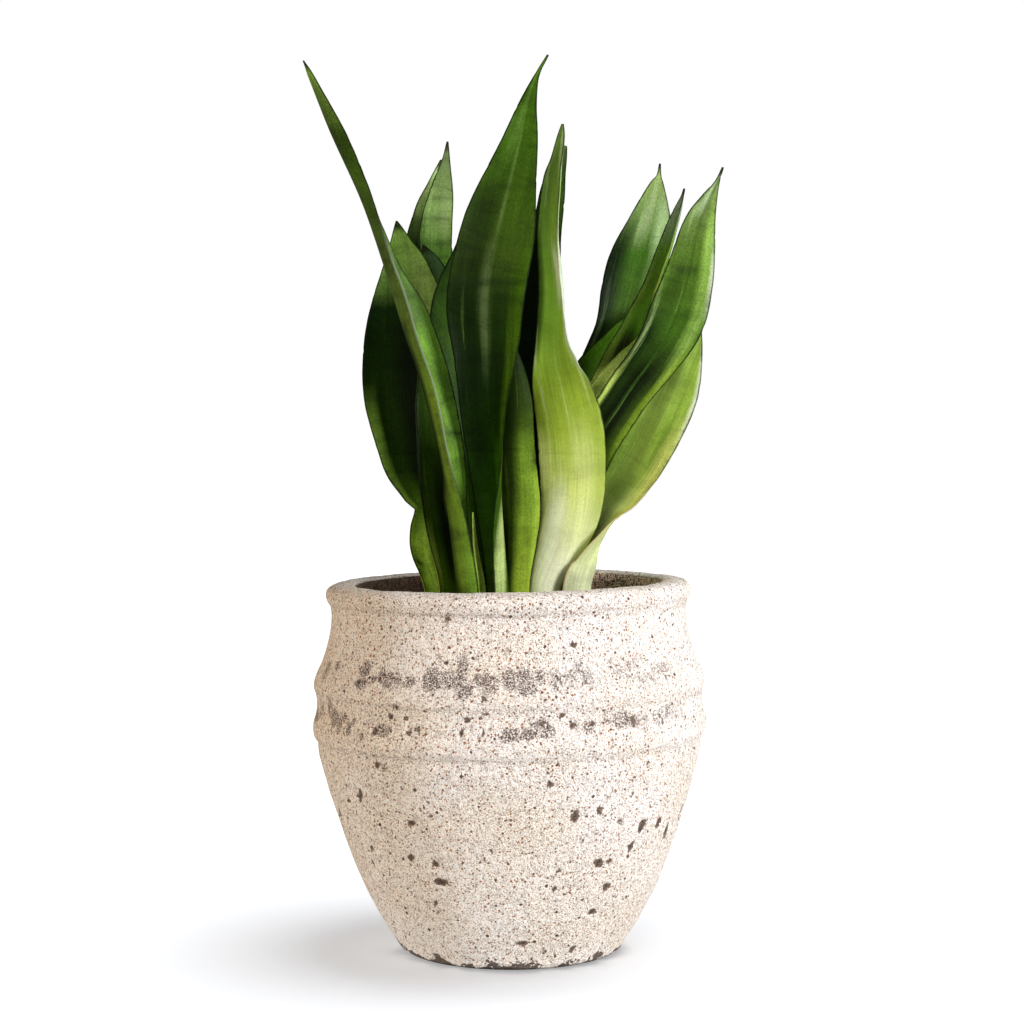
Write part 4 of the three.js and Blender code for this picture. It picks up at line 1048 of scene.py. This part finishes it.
class MakePot(bpy.types.Operator):
    """Makes the stoneware pot with its uneven wall, pits and smudged bands"""

    bl_idname = "snake_plant.make_pot"
    bl_label = "Make the pot"

    def execute(self, context):
        settings = context.scene.snake_plant_pot
        outline, inner_from = pot_outline()
        rings, count = len(outline), settings.segments
        ring = np.repeat(np.arange(rings), count)
        radius, height = np.repeat(outline[:, 0], count), np.repeat(outline[:, 1], count)
        angle = np.tile(np.arange(count) / count * 2 * math.pi, rings)
        degrees = np.degrees(angle)
        x, y = radius * np.sin(angle), -radius * np.cos(angle)

        # The wall strays only outside and on the lip, and not where it stands
        outside = ring < inner_from
        free = smooth_step(height, 1, 10) * outside
        slope = np.gradient(outline, axis=0)
        slope /= np.linalg.norm(slope, axis=1, keepdims=True)
        out_r, out_z = np.repeat(slope[:, 1], count), np.repeat(-slope[:, 0], count)
        stray = np.zeros(len(x))
        for i in np.nonzero(free)[0]:
            at = Vector((x[i], y[i], height[i]))
            stray[i] = noise.noise(at / 52) + 0.55 * noise.noise(at / 17) + 0.4 * noise.noise(at / 6.5)
        stray *= settings.unevenness / MM * free

        # Pits, grooves and the chips along the foot are cut into it
        pits_behind, smudges_behind = marks_behind(np.random.default_rng(settings.seed))
        rim = pit_distance(degrees, height, radius, PITS + pits_behind)
        stray -= PIT_DEPTH * np.clip(0.6 - rim, 0, 1) * outside
        for level, deep in GROOVES:
            wander = level + 0.9 * np.sin(angle * 3 + level) + 0.5 * np.sin(angle * 7 + 2 * level)
            stray -= deep * np.exp(-(((height - wander) / GROOVE_WIDTH) ** 2)) * outside
        chip = np.zeros(len(x))
        for i in np.nonzero((height < 9) & (height > 0.2) & outside)[0]:
            chip[i] = max(0.0, noise.noise(Vector((x[i], y[i], height[i])) / 9) - 0.05)
        stray -= CHIP_DEPTH * chip * smooth_step(height, 0.2, 2) * (1 - smooth_step(height, 5, 9))
        new_radius = radius + out_r * stray
        z = height + out_z * stray
        x, y = new_radius * np.sin(angle), -new_radius * np.cos(angle)
        z = z + RIM_SLOPE * x * smooth_step(height, 0, SLOPE_FULL_AT)
        x = x - RIM_SHIFT * smooth_step(height, 0, POT_HEIGHT)

        # What the material needs to know of each point: inside or out, how near a pit, how smudged
        lip_inside = (height > 219) * (1 - smooth_step(radius, 94, 97.5))
        within = np.maximum(lip_inside, smooth_step(ring, inner_from - 3, inner_from + 1))
        marked = ring < inner_from - 2
        rim = np.where(marked, rim, FAR_FROM_PITS)
        smeared = stains(degrees, height, radius, SMUDGES + smudges_behind, 1.1) * marked
        clay = np.stack([within, rim, smeared], axis=1)
        clay = np.vstack([clay, [0, FAR_FROM_PITS, 0], [1, FAR_FROM_PITS, 0]])

        # Walls of quads, closed by a fan of triangles under the foot and one on the floor inside
        faces = []
        for k in range(rings - 1):
            for i in range(count):
                j = (i + 1) % count
                faces.append((k * count + i, k * count + j, (k + 1) * count + j, (k + 1) * count + i))
        bottom, top = len(x), len(x) + 1
        points = np.vstack([np.stack([x, y, z], axis=1), [0, 0, 0], [0, 0, FLOOR_HEIGHT]])
        last = (rings - 1) * count
        for i in range(count):
            j = (i + 1) % count
            faces.append((bottom, j, i))
            faces.append((top, last + i, last + j))
        pot = make_piece("stoneware_pot", points, faces, rough_stoneware(settings), {"clay": clay})
        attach(pot, "root")
        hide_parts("pot")
        return {"FINISHED"}


class DressSoil(bpy.types.Operator):
    """Gives the soil its material and scatters its crumbs"""

    bl_idname = "snake_plant.dress_soil"
    bl_label = "Dress the soil"

    def execute(self, context):
        settings = context.scene.snake_plant_soil
        material = potting_soil()
        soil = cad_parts["soil"]
        soil.data.materials.clear()
        soil.data.materials.append(material)

        # The crumbs lie on a copy of the soil's upper faces
        shape = bmesh.new()
        shape.from_mesh(soil.data)
        bmesh.ops.remove_doubles(shape, verts=shape.verts, dist=1e-6)
        lower = [f for f in shape.faces if f.normal.z < 0.6 or f.calc_center_median().z < 0.2055]
        bmesh.ops.delete(shape, geom=lower, context="FACES")
        mesh = bpy.data.meshes.new("soil_crumbs")
        shape.to_mesh(mesh)
        shape.free()
        bed = bpy.data.objects.new("soil_crumbs", mesh)
        context.scene.collection.objects.link(bed)

        tree = bpy.data.node_groups.new("scattered_crumbs", "GeometryNodeTree")
        face = tree.interface
        face.new_socket("Geometry", in_out="INPUT", socket_type="NodeSocketGeometry")
        inputs = {}
        for name, kind, value in (
            ("Crumbs per square metre", "NodeSocketFloat", settings.density),
            ("Crumb size", "NodeSocketFloat", settings.crumb),
            ("Seed", "NodeSocketInt", settings.seed),
            ("Material", "NodeSocketMaterial", material),
        ):
            inputs[name] = (face.new_socket(name, in_out="INPUT", socket_type=kind).identifier, value)
        face.new_socket("Geometry", in_out="OUTPUT", socket_type="NodeSocketGeometry")
        add = functools.partial(add_node, tree)
        given = add("NodeGroupInput").outputs
        spread = add("GeometryNodeDistributePointsOnFaces", {
            "Mesh": given["Geometry"], "Density": given["Crumbs per square metre"], "Seed": given["Seed"]})
        sizes = add("FunctionNodeRandomValue", {2: 0.45, 3: 1.75, "Seed": given["Seed"]}, data_type="FLOAT")
        grow = add("ShaderNodeMath", {0: sizes.outputs[1], 1: given["Crumb size"]}, operation="MULTIPLY")
        flat = add("FunctionNodeRandomValue", {0: (0.8, 0.7, 0.5), 1: (1.3, 1.1, 0.9), "Seed": given["Seed"]},
                   data_type="FLOAT_VECTOR")
        stretch = add("ShaderNodeVectorMath", {0: flat.outputs[0], "Scale": grow.outputs[0]},
                      operation="SCALE")
        tumble = add("FunctionNodeRandomValue", {
            0: (-math.pi,) * 3, 1: (math.pi,) * 3, "Seed": given["Seed"]}, data_type="FLOAT_VECTOR")
        crumb = add("GeometryNodeMeshIcoSphere", {"Radius": 1.0, "Subdivisions": 1})
        laid = add("GeometryNodeInstanceOnPoints", {
            "Points": spread.outputs["Points"], "Instance": crumb.outputs["Mesh"],
            "Rotation": tumble.outputs[0], "Scale": stretch.outputs[0]})
        real = add("GeometryNodeRealizeInstances", {"Geometry": laid.outputs[0]})
        ragged = add("ShaderNodeTexNoise", {"Scale": 700.0, "Detail": 1.0})
        away = add("ShaderNodeVectorMath", {0: ragged.outputs["Color"], 1: (0.5, 0.5, 0.5)},
                   operation="SUBTRACT")
        push = add("ShaderNodeVectorMath", {0: away.outputs[0], "Scale": 1.6 * MM}, operation="SCALE")
        rough = add("GeometryNodeSetPosition", {"Geometry": real.outputs[0], "Offset": push.outputs[0]})
        done = add("GeometryNodeSetMaterial", {"Geometry": rough.outputs[0], "Material": given["Material"]})
        add("NodeGroupOutput", {0: done.outputs[0]})

        modifier = bed.modifiers.new("crumbs", "NODES")
        modifier.node_group = tree
        for identifier, value in inputs.values():
            modifier[identifier] = value
        context.view_layer.update()
        ready = bed.evaluated_get(context.evaluated_depsgraph_get())
        crumbs = bpy.data.meshes.new_from_object(ready)
        bed.modifiers.clear()
        bed.data = crumbs
        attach(bed, "root")
        return {"FINISHED"}


class GrowLeaves(bpy.types.Operator):
    """Makes the leaves, each with its own colours, margins and dry point"""

    bl_idname = "snake_plant.grow_leaves"
    bl_label = "Grow the leaves"

    def execute(self, context):
        settings = context.scene.snake_plant_leaves
        for seed, (name, look) in enumerate(LEAVES.items()):
            points, faces, values = leaf_shape(look, 20 * seed, settings)
            title = name.removeprefix("leaf_")
            leaf = make_piece("grown_" + name, points, faces, waxy_leaf(title, look, settings), values)
            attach(leaf, "root")
            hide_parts(name)
        return {"FINISHED"}


class SetStage(bpy.types.Operator):
    """Lays the floor, hangs the soft lights and sets the camera"""

    bl_idname = "snake_plant.set_stage"
    bl_label = "Set the stage"

    def execute(self, context):
        settings = context.scene.snake_plant_stage
        self.lay_floor(context, settings)
        self.hang_lights(context, settings)
        self.set_camera(context)
        context.scene.view_settings.view_transform = "Standard"
        return {"FINISHED"}

    def lay_floor(self, context, settings):
        """A pale floor that catches the pot's shadow and fades into the white round it."""
        material, add, shader = start_material("matt_paper_floor")
        place = add("ShaderNodeTexCoord").outputs["Object"]
        away = add("ShaderNodeVectorMath", {0: place}, operation="LENGTH").outputs["Value"]
        glow = add("ShaderNodeMapRange", {0: away, 1: 0.12, 2: 0.6, 3: 0.38, 4: 1.1}).outputs[0]
        shader.inputs["Base Color"].default_value = tuple(settings.floor)
        shader.inputs["Roughness"].default_value = 1.0
        shader.inputs["Specular IOR Level"].default_value = 0.0
        shader.inputs["Emission Color"].default_value = (1, 1, 1, 1)
        material.node_tree.links.new(glow, shader.inputs["Emission Strength"])
        mesh = bpy.data.meshes.new("floor")
        corners = [(x * FLOOR_REACH, y * FLOOR_REACH, -FLOOR_GAP)
                   for x, y in ((-1, -1), (1, -1), (1, 1), (-1, 1))]
        mesh.from_pydata(corners, [], [(0, 1, 2, 3)])
        mesh.materials.append(material)
        floor = bpy.data.objects.new("floor", mesh)
        context.scene.collection.objects.link(floor)
        floor.visible_diffuse = False
        floor.visible_glossy = False

    def hang_lights(self, context, settings):
        """Area lights given as name, place, aim, width, colour, spread and power, and a dim white room."""
        floor_alone = bpy.data.collections.new("floor_alone")
        all_but_floor = bpy.data.collections.new("all_but_floor")
        for group in (floor_alone, all_but_floor):
            group.objects.link(bpy.data.objects["floor"])
        all_but_floor.collection_objects[0].light_linking.link_state = "EXCLUDE"
        for name, place, aim, width, colour, spread, power in (
            ("key_light", (1.3, -1.12, 0.75), (0, 0, 0.23), 0.7, "#fbfbff", 180, settings.key),
            ("front_light", (-0.55, -2.0, 0.65), (0, 0, 0.3), 1.2, "#fffaf2", 180, settings.front),
            ("rim_light", (1.5, 0.5, 0.75), (0, 0, 0.3), 0.6, "#ffffff", 180, settings.rim),
            ("warm_light", (-1.35, -0.45, 0.45), (0, 0, 0.2), 0.8, "#ffdbad", 70, settings.fill),
            ("floor_bounce", (0, 0, 0.002), (0, 0, 1), 0.9, "#fffdfa", 180, settings.bounce),
            ("floor_light", (0.45, 0.05, 1.8), (0, 0, 0), 1.6, "#ffffff", 180, settings.above),
        ):
            light = bpy.data.lights.new(name, "AREA")
            light.shape = "DISK"
            light.size = width
            light.spread = math.radians(spread)
            light.energy = power
            light.color = linear(colour)[:3]
            lamp = bpy.data.objects.new(name, light)
            lamp.location = place
            lamp.rotation_euler = (Vector(aim) - Vector(place)).to_track_quat("-Z", "Y").to_euler()
            lamp.visible_camera = False
            lamp.light_linking.receiver_collection = floor_alone if name == "floor_light" else all_but_floor
            context.scene.collection.objects.link(lamp)
        world = bpy.data.worlds.new("white_room")
        context.scene.world = world
        world.use_nodes = True
        world.node_tree.nodes.clear()
        add = functools.partial(add_node, world.node_tree)
        seen = add("ShaderNodeLightPath").outputs["Is Camera Ray"]
        dim = add("ShaderNodeBackground", {"Color": (1, 1, 1, 1), "Strength": settings.ambient})
        white = add("ShaderNodeBackground", {"Color": (1, 1, 1, 1), "Strength": 1.0})
        mixed = add("ShaderNodeMixShader", {0: seen, 1: dim.outputs[0], 2: white.outputs[0]})
        add("ShaderNodeOutputWorld", {"Surface": mixed.outputs[0]})

    def set_camera(self, context):
        """The photograph's view: from 1.45 m in front, 10 cm above the pot's lip, tipped a little down."""
        lens = bpy.data.cameras.new("camera")
        lens.lens = LENS_LENGTH
        lens.sensor_width = SENSOR_WIDTH
        lens.clip_start = 0.05
        lens.clip_end = 50
        camera = bpy.data.objects.new("camera", lens)
        camera.location = CAMERA_PLACE
        camera.rotation_euler = (math.radians(90 - CAMERA_TIP), 0, 0)
        context.scene.collection.objects.link(camera)
        context.scene.camera = camera


class SnakePlantPanel(bpy.types.Panel):
    """Lists the steps that make the plant, with their settings"""

    bl_idname = "VIEW3D_PT_snake_plant"
    bl_label = "Potted Snake Plant"
    bl_space_type = "VIEW_3D"
    bl_region_type = "UI"
    bl_category = "Snake Plant"

    def draw(self, context):
        for step, group in STEPS:
            box = self.layout.box()
            settings = getattr(context.scene, group)
            for name in settings.__annotations__:
                box.prop(settings, name)
            box.operator(step.bl_idname)


STEPS = (
    (MakePot, "snake_plant_pot"),
    (DressSoil, "snake_plant_soil"),
    (GrowLeaves, "snake_plant_leaves"),
    (SetStage, "snake_plant_stage"),
)
GROUPS = {
    "snake_plant_pot": PotSettings,
    "snake_plant_soil": SoilSettings,
    "snake_plant_leaves": LeafSettings,
    "snake_plant_stage": StageSettings,
}
CLASSES = (*GROUPS.values(), *(step for step, _ in STEPS), SnakePlantPanel)


def register():
    for item in CLASSES:
        bpy.utils.register_class(item)
    for name, group in GROUPS.items():
        setattr(bpy.types.Scene, name, PointerProperty(type=group))


def unregister():
    for name in GROUPS:
        delattr(bpy.types.Scene, name)
    for item in reversed(CLASSES):
        bpy.utils.unregister_class(item)


def main():
    register()
    bpy.ops.snake_plant.make_pot()
    bpy.ops.snake_plant.dress_soil()
    bpy.ops.snake_plant.grow_leaves()
    bpy.ops.snake_plant.set_stage()


if __name__ == "__main__":
    main()
